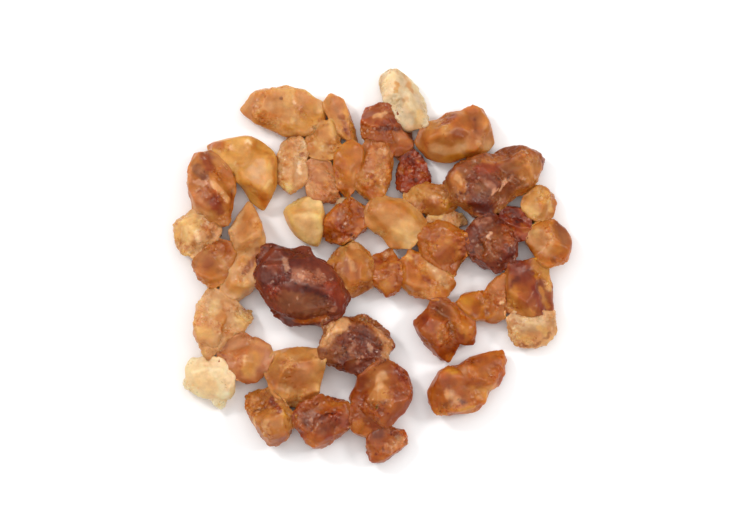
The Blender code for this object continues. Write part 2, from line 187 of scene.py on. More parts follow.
LUMPS = (
    Lump(1, Tint.OCHRE, crust=0.35, patches=(
        patch(Tint.PINK, 2.0, (254, 105), strength=0.7),
        patch(Tint.TAN, 1.6, (268, 108)),
        patch(Tint.BROWN, 0.6, (281, 98), strength=0.9),
        patch(Tint.AMBER, 1.4, (264, 115), (279, 113), strength=0.7),
        patch(Tint.TOFFEE, 0.8, (252, 117), (262, 124), (275, 127), strength=0.8),
        patch(Tint.STRAW, 1.3, (290, 90), (288, 104), strength=0.4),
        patch(Tint.AMBER, 0.9, (303, 104), (302, 118), strength=0.5),
        patch(Tint.CARAMEL, 3.4, (312, 115), strength=0.8),
        patch(Tint.CREAM, 0.5, (295, 102), strength=0.5),
        patch(Tint.STRAW, 0.7, (293, 121), strength=0.6),
        patch(Tint.GOLD, 0.9, (286, 127), (297, 128), strength=0.6),
        patch(Tint.ORANGE, 0.7, (321, 120), strength=0.6),
    )),
    Lump(2, Tint.OCHRE, crust=0.3, patches=(
        patch(Tint.PINK, 2.0, (337, 99), (339, 108), strength=0.8),
        patch(Tint.HONEY, 1.2, (345, 113), strength=0.6),
        patch(Tint.RUST, 0.9, (341, 116), (349, 134)),
        patch(Tint.RED, 0.7, (345, 130), strength=0.7),
        patch(Tint.CARAMEL, 0.8, (352, 124), (354, 136), strength=0.7),
    ), ridges=(
        ridge(0.4, 1.5, (338, 98), (345, 115), (351, 134)),
    )),
    Lump(3, Tint.IVORY, crust=0.3, patches=(
        patch(Tint.CREAM, 2.2, (390, 76), (388, 90), strength=0.7),
        patch(Tint.TAN, 0.3, (382, 72), (380, 88), strength=0.9),
        patch(Tint.TAN, 0.6, (387, 69), (400, 69), (410, 82), strength=0.6),
        patch(Tint.HONEY, 0.6, (397, 84), (396, 93), strength=0.8),
        patch(Tint.CARAMEL, 0.9, (408, 84), (411, 90), strength=0.7),
        patch(Tint.HONEY, 1.0, (405, 100), strength=0.5),
        patch(Tint.CREAM, 1.6, (407, 108), strength=0.7),
        patch(Tint.STRAW, 1.4, (421, 114), (418, 126), strength=0.6),
        patch(Tint.TAN, 1.0, (408, 128), (418, 128), strength=0.5),
    ), ridges=(
        ridge(0.4, 1.8, (392, 72), (398, 92), (410, 108)),
    )),
    Lump(4, Tint.RUST, crust=0.4, patches=(
        patch(Tint.RED, 0.6, (367, 108), (364, 118), strength=0.7),
        patch(Tint.RED, 0.6, (386, 106), strength=0.6),
        patch(Tint.RED, 0.8, (376, 124), (392, 121), strength=0.7),
        patch(Tint.MAHOGANY, 0.6, (380, 128), (402, 129), strength=0.7),
        patch(Tint.TAN, 0.7, (386, 113), (374, 116)),
        patch(Tint.PINK, 1.9, (373, 143)),
        patch(Tint.STRAW, 0.5, (370, 151), strength=0.6),
        patch(Tint.PINK, 2.2, (406, 138), strength=0.5),
    )),
    Lump(5, Tint.TOFFEE, crust=0.6, patches=(
        patch(Tint.PINK, 2.6, (376, 150), (374, 166), strength=0.5),
        patch(Tint.TAN, 0.8, (371, 150), (386, 152), strength=0.6),
        patch(Tint.TAN, 0.7, (378, 176), (382, 180), strength=0.7),
        patch(Tint.RUST, 0.7, (366, 177), (372, 179), strength=0.6),
        patch(Tint.ORANGE, 2.0, (366, 192), (380, 196), strength=0.9),
        patch(Tint.TOFFEE, 1.2, (364, 160), (362, 172), strength=0.7),
        patch(Tint.RUST, 0.7, (386, 184), strength=0.7),
    ), ridges=(
        ridge(0.4, 2.5, (372, 152), (374, 170), (370, 190)),
    )),
    Lump(6, Tint.RED, crust=0.8, patches=(
        patch(Tint.MAHOGANY, 1.6, (411, 162)),
        patch(Tint.RUST, 1.1, (401, 171)),
        patch(Tint.RUST, 1.2, (424, 175)),
        patch(Tint.MAHOGANY, 0.7, (415, 180)),
        # Painted glints: the small pink dabs.
        patch(Tint.PINK, 0.6, (406, 149)),
        patch(Tint.PINK, 0.6, (409, 171)),
        patch(Tint.PINK, 0.5, (419, 161)),
        patch(Tint.TAN, 0.4, (404, 184)),
    )),
    Lump(7, Tint.TOFFEE, crust=0.2, patches=(
        patch(Tint.AMBER, 1.6, (463, 108), strength=0.7),
        patch(Tint.AMBER, 1.8, (431, 135), strength=0.7),
        patch(Tint.RED, 1.0, (444, 124), (454, 116), strength=0.7),
        patch(Tint.ORANGE, 2.8, (460, 124), (470, 132)),
        patch(Tint.RUST, 1.4, (450, 136), (462, 134), strength=0.8),
        patch(Tint.BROWN, 0.5, (475, 118), (475, 132), strength=0.5),
        patch(Tint.RUST, 0.5, (424, 145), (432, 153), strength=0.6),
        patch(Tint.TAN, 1.3, (432, 147), (446, 151), (460, 150), strength=0.6),
        patch(Tint.GOLD, 0.9, (446, 158), (470, 156), strength=0.6),
        patch(Tint.TAN, 1.4, (480, 142), (488, 146), strength=0.7),
    ), ridges=(
        ridge(0.5, 3.0, (428, 140), (445, 134), (462, 137), (478, 130), (488, 122)),
    )),
    Lump(8, Tint.BROWN, crust=0.45, patches=(
        patch(Tint.TOFFEE, 3.8, (525, 164), (532, 172), strength=0.7),
        patch(Tint.TOFFEE, 1.6, (500, 160), (486, 163), strength=0.5),
        patch(Tint.ORANGE, 1.8, (521, 192), (531, 190), strength=0.6),
        patch(Tint.UMBER, 4.4, (478, 184), (490, 196), strength=0.9),
        patch(Tint.MAHOGANY, 2.0, (474, 205), (486, 212), strength=0.9),
        patch(Tint.RED, 1.5, (478, 170), (495, 168), strength=0.8),
        patch(Tint.AMBER, 1.6, (455, 178), (459, 186), strength=0.7),
        # Partly painted sheen: the mauve in the dark middle.
        patch(Tint.MAUVE_AND_SHEEN, 1.8, (479, 189), (497, 197), strength=0.8),
        patch(Tint.TAN, 0.7, (456, 178), (460, 182), strength=0.6),
        # Painted highlights and glints: the small pale dabs below.
        patch(Tint.PAINTED_HIGHLIGHT, 0.8, (486, 182), (492, 187), strength=0.9),
        patch(Tint.PAINTED_GLINT, 0.6, (499, 190), (503, 183), (510, 180), strength=0.9),
        patch(Tint.PAINTED_GLINT, 0.5, (491, 194), (495, 190), strength=0.9),
        patch(Tint.PAINTED_HIGHLIGHT, 0.7, (499, 202), (504, 200), strength=0.9),
        patch(Tint.BROWN, 0.7, (506, 172), (512, 178), strength=0.7),
    ), ridges=(
        ridge(0.6, 3.5, (497, 168), (500, 184), (494, 198), (486, 208)),
    )),
    Lump(9, Tint.TOFFEE, crust=0.4, patches=(
        patch(Tint.HONEY, 2.8, (530, 208), (540, 196), strength=0.75),
        patch(Tint.STRAW, 1.0, (526, 208), (534, 214), strength=0.6),
        patch(Tint.AMBER, 0.7, (538, 200), (542, 208), strength=0.8),
        patch(Tint.STRAW, 0.8, (548, 202), (550, 210), strength=0.5),
    )),
    Lump(10, Tint.AMBER, crust=0.3, patches=(
        patch(Tint.TAN, 2.8, (538, 238), (542, 243), strength=0.8),
        patch(Tint.STRAW, 1.2, (535, 234), strength=0.5),
        patch(Tint.BROWN, 2.2, (560, 228), (567, 244), strength=0.8),
        patch(Tint.ORANGE, 1.4, (560, 258), (566, 250), strength=0.7),
        patch(Tint.BROWN, 0.9, (552, 260), strength=0.6),
    ), ridges=(
        ridge(-0.3, 1.2, (552, 226), (556, 240), (550, 254)),
    )),
    Lump(11, Tint.UMBER, crust=0.6, patches=(
        # Painted highlights and glints: the small pale dabs here.
        patch(Tint.PAINTED_HIGHLIGHT, 0.9, (476, 222), (488, 220)),
        patch(Tint.BROWN, 3.0, (492, 234), (486, 250), strength=0.7),
        patch(Tint.PAINTED_HIGHLIGHT, 0.8, (486, 246), (494, 256), strength=0.6),
        patch(Tint.PAINTED_GLINT, 0.5, (485, 238), (490, 233), strength=0.8),
        patch(Tint.PAINTED_HIGHLIGHT, 0.6, (499, 240)),
        patch(Tint.MAHOGANY, 1.0, (503, 259), (512, 254), strength=0.9),
        patch(Tint.RUST, 1.4, (505, 228), (508, 240), strength=0.7),
    )),
    Lump(12, Tint.RED, crust=0.4, patches=(
        patch(Tint.MAHOGANY, 1.6, (513, 214), (518, 222)),
        patch(Tint.RUST, 1.0, (507, 216), (510, 230), strength=0.5),
        patch(Tint.RUST, 0.7, (522, 226), (526, 230), strength=0.7),
    )),
    Lump(13, Tint.RUST, crust=0.2, patches=(
        patch(Tint.RED, 2.4, (516, 266), (521, 276), strength=0.9),
        patch(Tint.MAHOGANY, 0.8, (512, 281), (517, 278), strength=0.9),
        patch(Tint.ORANGE, 2.2, (519, 292), (517, 304)),
        patch(Tint.GOLD, 1.5, (536, 264), (537, 274), strength=0.9),
        patch(Tint.HONEY, 1.4, (545, 270), (548, 286), strength=0.85),
        patch(Tint.BROWN, 0.5, (547, 268), (553, 284), (552, 300), strength=0.8),
        patch(Tint.RED, 0.9, (532, 286), (537, 302), (543, 315), strength=0.95),
        patch(Tint.CARAMEL, 0.8, (539, 288), (546, 306), strength=0.8),
        patch(Tint.CARAMEL, 1.3, (514, 313), (530, 313), strength=0.5),
        patch(Tint.CARAMEL, 1.4, (511, 292), (511, 308), strength=0.7),
    ), ridges=(
        ridge(0.4, 1.6, (545, 266), (549, 285), (551, 303), (548, 316)),
        ridge(0.4, 2.0, (528, 262), (533, 285), (538, 305)),
    )),
    Lump(14, Tint.TAN, crust=0.6, patches=(
        patch(Tint.IVORY, 2.6, (520, 320), (536, 322), strength=0.5),
        patch(Tint.STRAW, 1.0, (516, 334), (528, 340), strength=0.6),
        patch(Tint.STRAW, 0.8, (538, 327), (544, 332), strength=0.7),
        patch(Tint.AMBER, 0.6, (512, 321), (520, 324), strength=0.6),
        patch(Tint.BROWN, 0.5, (520, 345), (535, 345), (549, 333), strength=0.6),
    )),
    Lump(15, Tint.AMBER, crust=0.3, patches=(
        patch(Tint.GOLD, 1.6, (467, 300)),
        patch(Tint.RUST, 1.1, (478, 304), (473, 313)),
        patch(Tint.RUST, 1.0, (486, 312)),
        patch(Tint.PINK, 2.6, (496, 288), (500, 308), strength=0.8),
        patch(Tint.CREAM, 0.5, (500, 302), strength=0.7),
        patch(Tint.PINK, 1.0, (493, 318), strength=0.7),
        patch(Tint.BROWN, 0.5, (478, 320), (486, 321), strength=0.7),
    )),
    Lump(16, Tint.RUST, crust=0.4, patches=(
        patch(Tint.RED, 1.2, (425, 316), (430, 326), strength=0.7),
        patch(Tint.BROWN, 2.4, (455, 322), (442, 308), strength=0.7),
        patch(Tint.TOFFEE, 1.6, (440, 328), (443, 337), strength=0.8),
        patch(Tint.RUST, 1.2, (426, 334), (433, 346), strength=0.8),
        patch(Tint.AMBER, 3.0, (469, 330), (462, 318), strength=0.7),
        patch(Tint.RED, 0.6, (462, 338), (456, 330), strength=0.7),
        patch(Tint.AMBER, 1.4, (449, 356), strength=0.8),
    )),
    Lump(17, Tint.ORANGE, crust=0.3, patches=(
        patch(Tint.RUST, 0.8, (455, 362), (468, 361), (484, 356), strength=0.9),
        patch(Tint.GOLD, 1.5, (451, 368), strength=0.8),
        patch(Tint.RUST, 1.6, (486, 376), (470, 384), strength=0.5),
        patch(Tint.RUST, 1.5, (435, 384), (450, 380), strength=0.8),
        patch(Tint.TAN, 0.9, (446, 391), (451, 394), (457, 398)),
        patch(Tint.MAHOGANY, 0.4, (458, 399), (464, 400), strength=0.8),
        patch(Tint.BROWN, 0.9, (449, 402), (444, 404)),
        patch(Tint.CARAMEL, 0.9, (462, 408), (472, 406), strength=0.8),
        patch(Tint.CARAMEL, 1.4, (478, 393), (492, 386), strength=0.5),
        patch(Tint.BROWN, 0.4, (440, 411), (460, 413), (476, 411), strength=0.7),
    ), ridges=(
        ridge(0.5, 3.0, (436, 380), (455, 374), (475, 368), (500, 356)),
    )),
    Lump(18, Tint.ORANGE, crust=0.4, patches=(
        patch(Tint.RUST, 1.5, (432, 236), (440, 231)),
        patch(Tint.CARAMEL, 0.8, (447, 240), (457, 248), (459, 258), strength=0.5),
        patch(Tint.RUST, 2.4, (442, 256), (446, 264), strength=0.7),
        patch(Tint.RUST, 1.0, (464, 250), (459, 268), strength=0.8),
        patch(Tint.ORANGE, 1.5, (431, 250), strength=0.7),
    )),
    Lump(19, Tint.AMBER, crust=0.35, patches=(
        patch(Tint.TAN, 1.5, (431, 264), (438, 273), (446, 283)),
        patch(Tint.STRAW, 0.8, (409, 257), strength=0.8),
        patch(Tint.ORANGE, 2.0, (411, 271), strength=0.7),
        patch(Tint.RED, 0.9, (425, 277), (428, 281)),
        patch(Tint.CREAM, 0.5, (434, 271), strength=0.8),
        patch(Tint.STRAW, 0.5, (441, 277)),
        patch(Tint.OCHRE, 2.0, (412, 287), (428, 292), strength=0.7),
        patch(Tint.CARAMEL, 1.2, (437, 290), strength=0.6),
    )),
    Lump(20, Tint.OCHRE, crust=0.0, patches=(
        patch(Tint.AMBER, 2.0, (370, 206), (372, 224), strength=0.3),
        patch(Tint.TAN, 1.2, (380, 208), strength=0.5),
        patch(Tint.GOLD, 0.7, (391, 201), (405, 208), (416, 218), strength=0.7),
        patch(Tint.STRAW, 3.2, (403, 232), (408, 240), strength=0.45),
        patch(Tint.AMBER, 1.4, (384, 240), (394, 247), strength=0.5),
    ), ridges=(
        ridge(0.3, 2.0, (383, 208), (396, 206), (410, 216), (420, 232)),
    )),
    Lump(21, Tint.TOFFEE, crust=0.45, patches=(
        patch(Tint.HONEY, 1.8, (410, 196), (420, 196), strength=0.4),
        patch(Tint.RUST, 1.4, (424, 204), (436, 203), strength=0.7),
        patch(Tint.TAN, 0.7, (434, 198), strength=0.6),
        patch(Tint.GOLD, 1.6, (446, 205), strength=0.6),
    )),
    Lump(22, Tint.TAN, crust=0.6, patches=(
        patch(Tint.STRAW, 0.9, (430, 214), (440, 217), strength=0.9),
        patch(Tint.TAN, 1.2, (424, 225), (434, 224)),
        patch(Tint.OCHRE, 1.2, (458, 219), strength=0.7),
    )),
    Lump(23, Tint.ORANGE, crust=0.7, patches=(
        patch(Tint.RUST, 3.2, (341, 227), (351, 216), strength=0.8),
        patch(Tint.RED, 1.0, (338, 224), (346, 234), strength=0.7),
        patch(Tint.RED, 1.0, (345, 245), strength=0.7),
        patch(Tint.MAHOGANY, 0.6, (352, 234), (354, 240), strength=0.8),
        # Painted glints: the small rose and pink dabs.
        patch(Tint.PAINTED_HIGHLIGHT, 0.7, (343, 213), (339, 218), strength=0.9),
        patch(Tint.PAINTED_HIGHLIGHT, 0.7, (335, 235), strength=0.9),
        patch(Tint.PINK, 0.8, (358, 230), (361, 236), strength=0.9),
        patch(Tint.PINK, 0.6, (347, 241), strength=0.8),
    )),
    Lump(24, Tint.TOFFEE, crust=0.45, patches=(
        patch(Tint.AMBER, 2.4, (352, 284), (360, 270), strength=0.8),
        patch(Tint.RUST, 0.8, (346, 260), (348, 270), strength=0.8),
        patch(Tint.RUST, 0.8, (353, 262), (358, 276), strength=0.7),
        patch(Tint.TAN, 0.6, (350, 260), (354, 270), strength=0.8),
        patch(Tint.TAN, 1.2, (354, 246), strength=0.6),
        patch(Tint.RUST, 1.2, (337, 254), strength=0.6),
        patch(Tint.STRAW, 0.6, (334, 272), (341, 284), (350, 296), strength=0.6),
    )),
    Lump(25, Tint.ORANGE, crust=0.5, patches=(
        patch(Tint.RUST, 1.9, (380, 263), (386, 268)),
        patch(Tint.RED, 0.6, (374, 261), (382, 262)),
        patch(Tint.TAN, 0.6, (391, 264)),
        patch(Tint.TAN, 0.8, (386, 254), strength=0.8),
        patch(Tint.CARAMEL, 1.8, (386, 287), strength=0.8),
        patch(Tint.RUST, 0.9, (398, 268), (399, 280)),
    )),
    Lump(26, Tint.STRAW, crust=0.0, patches=(
        patch(Tint.TAN, 3.2, (314, 228), (304, 214), strength=0.6),
        patch(Tint.TAN, 1.4, (312, 242), strength=0.5),
        patch(Tint.STRAW, 1.6, (318, 208), (319, 226), strength=0.6),
    )),
    Lump(27, Tint.TAN, crust=0.7, patches=(
        patch(Tint.PINK, 1.9, (293, 144), strength=0.7),
        patch(Tint.RUST, 0.7, (303, 155), strength=0.8),
        patch(Tint.CREAM, 0.6, (300, 163), (300, 172)),
        patch(Tint.CREAM, 0.6, (281, 177), strength=0.7),
        patch(Tint.STRAW, 1.8, (287, 188), strength=0.8),
        patch(Tint.AMBER, 0.8, (286, 165), strength=0.7),
    )),
    Lump(28, Tint.OCHRE, crust=0.35, patches=(
        patch(Tint.STRAW, 1.0, (331, 117), (333, 134), strength=0.6),
        patch(Tint.AMBER, 1.3, (308, 143), (312, 151), strength=0.7),
        patch(Tint.STRAW, 0.8, (322, 148), strength=0.7),
        patch(Tint.STRAW, 0.7, (331, 155), (333, 158)),
        patch(Tint.HONEY, 1.8, (340, 145), (338, 152), strength=0.6),
    ), ridges=(
        ridge(0.5, 1.8, (329, 118), (332, 132), (334, 150)),
    )),
    Lump(29, Tint.AMBER, crust=0.2),
    Lump(30, Tint.PINK, crust=0.7, patches=(
        patch(Tint.TAN, 2.0, (306, 185), (312, 190), strength=0.7),
        patch(Tint.STRAW, 0.5, (319, 172)),
        patch(Tint.TAN, 0.6, (320, 178), (330, 180)),
        patch(Tint.TAN, 0.7, (335, 193)),
        patch(Tint.AMBER, 1.4, (327, 185)),
    )),
    Lump(31, Tint.CREAM, crust=0.0),
    Lump(32, Tint.TOFFEE, crust=0.25, patches=(
        patch(Tint.PINK, 2.8, (196, 200), (200, 212), strength=0.75),
        patch(Tint.RED, 1.6, (206, 156), (211, 168), strength=0.8),
        # Partly painted sheen: the mauve.
        patch(Tint.MAUVE_AND_SHEEN, 1.4, (197, 168), (206, 178), strength=0.8),
        patch(Tint.RUST, 2.2, (208, 192), (220, 203), strength=0.8),
        patch(Tint.RED, 1.2, (215, 202), (222, 212), strength=0.8),
        patch(Tint.TAN, 1.1, (215, 184), (222, 191), (228, 199), strength=0.95),
        # Painted highlight: the small pale streak.
        patch(Tint.PAINTED_GLINT, 0.6, (196, 182), (206, 184), strength=0.8),
        patch(Tint.AMBER, 1.4, (223, 172), (230, 182), strength=0.6),
        patch(Tint.BROWN, 0.5, (233, 192), (231, 210), strength=0.6),
        patch(Tint.PINK, 0.7, (190, 164), (190, 182), strength=0.8),
    ), ridges=(
        ridge(0.5, 2.5, (200, 170), (213, 182), (222, 191), (230, 202)),
    )),
    Lump(33, Tint.HONEY, crust=0.1, patches=(
        patch(Tint.ORANGE, 1.5, (210, 144), (222, 146), strength=0.8),
        patch(Tint.CARAMEL, 1.5, (232, 146), (248, 148), (262, 154), strength=0.7),
        patch(Tint.AMBER, 0.7, (268, 152), (275, 166), (275, 182), strength=0.7),
        patch(Tint.HONEY, 3.4, (250, 168), strength=0.8),
        patch(Tint.TAN, 2.4, (262, 178), (256, 168), strength=0.6),
        patch(Tint.AMBER, 1.6, (262, 195), (266, 204)),
        # Painted highlight: the small cream streak.
        patch(Tint.CREAM, 0.6, (248, 142), (252, 144), strength=0.7),
        patch(Tint.STRAW, 0.6, (271, 182), (267, 188), strength=0.8),
    ), ridges=(
        ridge(0.4, 2.5, (238, 150), (236, 165), (248, 178), (262, 192)),
        ridge(0.4, 2.0, (252, 148), (266, 160), (268, 180), (262, 196)),
    )),
    Lump(34, Tint.TAN, crust=0.6, patches=(
        patch(Tint.STRAW, 2.8, (185, 233), (192, 224), strength=0.7),
        patch(Tint.CREAM, 0.7, (197, 232), (200, 240), strength=0.6),
        patch(Tint.TOFFEE, 0.7, (194, 244), strength=0.7),
        patch(Tint.PINK, 1.8, (210, 227), strength=0.7),
        patch(Tint.BROWN, 0.6, (209, 238), (214, 236), strength=0.6),
        patch(Tint.STRAW, 1.4, (188, 255), strength=0.7),
    )),
    Lump(35, Tint.TOFFEE, crust=0.5, patches=(
        patch(Tint.ORANGE, 2.0, (215, 246), (228, 250), strength=0.8),
        patch(Tint.RUST, 1.4, (212, 256), (208, 266), strength=0.8),
        patch(Tint.PINK, 1.4, (203, 271), strength=0.6),
        patch(Tint.TAN, 0.7, (222, 258), (228, 268), strength=0.5),
        patch(Tint.AMBER, 2.0, (208, 282), (226, 282)),
    )),
    Lump(36, Tint.TAN, crust=0.2, patches=(
        patch(Tint.AMBER, 1.8, (249, 212), (244, 232), strength=0.6),
        patch(Tint.RUST, 0.8, (259, 250), (253, 262), (247, 272), strength=0.7),
        patch(Tint.OCHRE, 1.6, (248, 240), (240, 262), strength=0.7),
        patch(Tint.HONEY, 1.4, (259, 226), strength=0.7),
        patch(Tint.CARAMEL, 0.7, (263, 232), (262, 250), strength=0.6),
        patch(Tint.HONEY, 1.8, (236, 288), (244, 286), strength=0.6),
    ), ridges=(
        ridge(0.5, 2.5, (251, 206), (256, 225), (252, 245), (245, 265)),
    )),
    Lump(37, Tint.TAN, crust=0.5, patches=(
        patch(Tint.STRAW, 1.2, (217, 303), (214, 312), strength=0.5),
        patch(Tint.AMBER, 0.7, (224, 302), (226, 309), strength=0.6),
        patch(Tint.AMBER, 1.7, (224, 318), (228, 331), strength=0.7),
        patch(Tint.STRAW, 2.2, (245, 319), strength=0.6),
        patch(Tint.STRAW, 1.6, (203, 330), (212, 334), strength=0.6),
        patch(Tint.TAN, 1.4, (210, 342), strength=0.6),
        patch(Tint.STRAW, 1.0, (206, 352), strength=0.6),
    )),
    Lump(38, Tint.PINK, crust=0.3, patches=(
        patch(Tint.RUST, 1.1, (225, 344), strength=0.6),
        patch(Tint.TAN, 0.7, (252, 340), (268, 346)),
        patch(Tint.TAN, 0.8, (222, 357), strength=0.8),
        patch(Tint.CREAM, 0.6, (247, 356), (247, 362)),
        patch(Tint.HONEY, 2.0, (255, 357), (250, 368), strength=0.8),
        patch(Tint.RUST, 1.6, (263, 371), strength=0.6),
        patch(Tint.TAN, 0.9, (235, 370), strength=0.7),
        patch(Tint.BROWN, 0.4, (240, 381), (255, 384), strength=0.6),
    ), ridges=(
        ridge(0.4, 2.0, (247, 350), (247, 366)),
    )),
    Lump(39, Tint.CREAM, crust=0.35, patches=(
        patch(Tint.STRAW, 2.0, (205, 376), (214, 386), strength=0.3),
    )),
    Lump(40, Tint.OCHRE, crust=0.25, patches=(
        patch(Tint.TOFFEE, 4.0, (280, 372), (292, 362), strength=0.8),
        patch(Tint.PINK, 2.4, (298, 380), (306, 366), strength=0.8),
        patch(Tint.TAN, 1.2, (284, 366), (296, 356), strength=0.5),
        patch(Tint.TAN, 0.8, (280, 384), (290, 387), strength=0.6),
        patch(Tint.STRAW, 0.6, (320, 380), (318, 392), strength=0.5),
    )),
    Lump(41, Tint.TOFFEE, crust=0.6, patches=(
        patch(Tint.RED, 0.9, (273, 398), (281, 408), strength=0.9),
        patch(Tint.MAHOGANY, 0.5, (257, 408), (261, 408), strength=0.7),
        patch(Tint.BROWN, 0.6, (275, 413)),
        patch(Tint.TAN, 1.4, (256, 399)),
        patch(Tint.STRAW, 0.5, (256, 417), (257, 425), strength=0.8),
        patch(Tint.TAN, 1.0, (268, 420), (268, 436), strength=0.6),
        patch(Tint.RUST, 1.4, (283, 437), strength=0.8),
        patch(Tint.GOLD, 1.2, (287, 411), strength=0.7),
        patch(Tint.BROWN, 0.4, (258, 432), (270, 444), strength=0.8),
    )),
    Lump(42, Tint.RUST, crust=0.45, patches=(
        patch(Tint.ORANGE, 0.9, (322, 404), (343, 402)),
        patch(Tint.UMBER, 2.4, (312, 418), (326, 422), strength=0.8),
        # Painted highlight: the rose streak.
        patch(Tint.PAINTED_HIGHLIGHT, 1.0, (302, 414), (318, 408), strength=0.5),
        patch(Tint.MAHOGANY, 0.6, (322, 415), (329, 411)),
        patch(Tint.RED, 1.6, (336, 413), (345, 420), strength=0.8),
        # Painted highlights and glints: the small pale dabs.
        patch(Tint.PAINTED_HIGHLIGHT, 0.4, (312, 416), (316, 424)),
        patch(Tint.PAINTED_GLINT, 0.4, (313, 427)),
        patch(Tint.PAINTED_HIGHLIGHT, 0.5, (321, 427)),
        patch(Tint.RED, 1.2, (330, 434), strength=0.8),
        patch(Tint.ORANGE, 1.5, (311, 437), (317, 444)),
    )),
    Lump(43, Tint.RUST, crust=0.3, patches=(
        patch(Tint.TOFFEE, 2.8, (378, 376), (376, 392), strength=0.8),
        patch(Tint.TAN, 1.2, (382, 374), (378, 384), strength=0.7),
        patch(Tint.RED, 1.0, (398, 370), (407, 385), strength=0.8),
        patch(Tint.RUST, 1.8, (400, 398), (404, 388), strength=0.7),
        patch(Tint.BROWN, 0.8, (386, 400), (372, 402), strength=0.6),
        patch(Tint.AMBER, 2.0, (360, 424), (366, 432), strength=0.8),
        patch(Tint.RUST, 1.6, (390, 412), (380, 412), strength=0.6),
    )),
    Lump(44, Tint.RUST, crust=0.5, patches=(
        patch(Tint.UMBER, 1.8, (378, 431), strength=0.8),
        patch(Tint.UMBER, 1.1, (393, 430), (398, 434), strength=0.8),
        patch(Tint.TAN, 1.0, (401, 437), strength=0.6),
        patch(Tint.RUST, 2.2, (379, 446), (385, 452)),
        patch(Tint.PINK, 1.2, (388, 444), (400, 442), strength=0.6),
        patch(Tint.RUST, 0.6, (372, 440), (371, 452), strength=0.8),
        patch(Tint.UMBER, 0.6, (398, 451), (408, 443), strength=0.7),
    )),
    Lump(45, Tint.UMBER, crust=0.3, patches=(
        patch(Tint.MAHOGANY, 2.6, (264, 262), (264, 278), strength=0.6),
        patch(Tint.MAHOGANY, 1.8, (278, 282), (284, 276), (296, 262), strength=0.95),
        patch(Tint.MAHOGANY, 1.2, (284, 268), (290, 278), strength=0.9),
        patch(Tint.RED, 1.8, (272, 290), (284, 296), strength=0.8),
        # Partly painted sheen: the broad mauve facet; painted highlight: the rose streak below it.
        patch(Tint.MAUVE_AND_SHEEN, 3.2, (290, 301), (304, 305), (318, 306), strength=0.9),
        patch(Tint.PAINTED_HIGHLIGHT, 2.2, (301, 275), (316, 278), strength=0.75),
        patch(Tint.MAHOGANY, 0.8, (290, 288), (314, 289), (330, 297), strength=0.95),
        patch(Tint.RED, 2.2, (334, 288), (341, 300), strength=0.9),
        patch(Tint.ORANGE, 0.8, (296, 320), (312, 321), (326, 317), strength=0.8),
        # Painted highlights and glints: the small pale streaks.
        patch(Tint.PAINTED_GLINT, 0.7, (286, 260), (288, 268), strength=0.5),
        patch(Tint.PAINTED_HIGHLIGHT, 0.7, (319, 272), (326, 280), strength=0.6),
        patch(Tint.PAINTED_GLINT, 0.5, (300, 275), (305, 278), strength=0.45),
        patch(Tint.PAINTED_HIGHLIGHT, 0.6, (330, 310), (336, 308), strength=0.9),
    ), ridges=(
        ridge(0.45, 4.0, (285, 288), (300, 285), (316, 287), (328, 293), (338, 303)),
        ridge(0.35, 3.0, (291, 256), (288, 272), (286, 286)),
    )),
    Lump(46, Tint.BROWN, crust=0.75, patches=(
        patch(Tint.TAN, 1.8, (325, 340), (332, 328), (344, 322), strength=0.8),
        patch(Tint.TAN, 1.3, (378, 330), (388, 342), (387, 354), strength=0.6),
        patch(Tint.BROWN, 0.8, (321, 350), (332, 366), (350, 377), (368, 374), strength=0.8),
        patch(Tint.BROWN, 0.7, (352, 318), (364, 320), (372, 324), strength=0.8),
        patch(Tint.UMBER, 3.4, (346, 346), (360, 337), (368, 350), (350, 362), (362, 367), strength=0.9),
        # Partly painted sheen: the mauve.
        patch(Tint.MAUVE_AND_SHEEN, 1.6, (342, 350), (354, 358), strength=0.8),
        patch(Tint.MAHOGANY, 0.9, (348, 354), (342, 360), strength=0.7),
        patch(Tint.MAHOGANY, 0.8, (364, 346), (360, 336), strength=0.7),
        # Painted highlights and glints: the small pale dabs.
        patch(Tint.PAINTED_HIGHLIGHT, 0.6, (354, 344), (350, 350), strength=0.8),
        patch(Tint.PAINTED_GLINT, 0.5, (369, 344), (372, 350), strength=0.5),
        patch(Tint.PAINTED_HIGHLIGHT, 0.6, (358, 360), (362, 356), strength=0.8),
    ), ridges=(
        ridge(0.5, 2.0, (328, 352), (332, 334), (348, 324), (368, 328), (384, 344), (378, 360)),
    )),
)


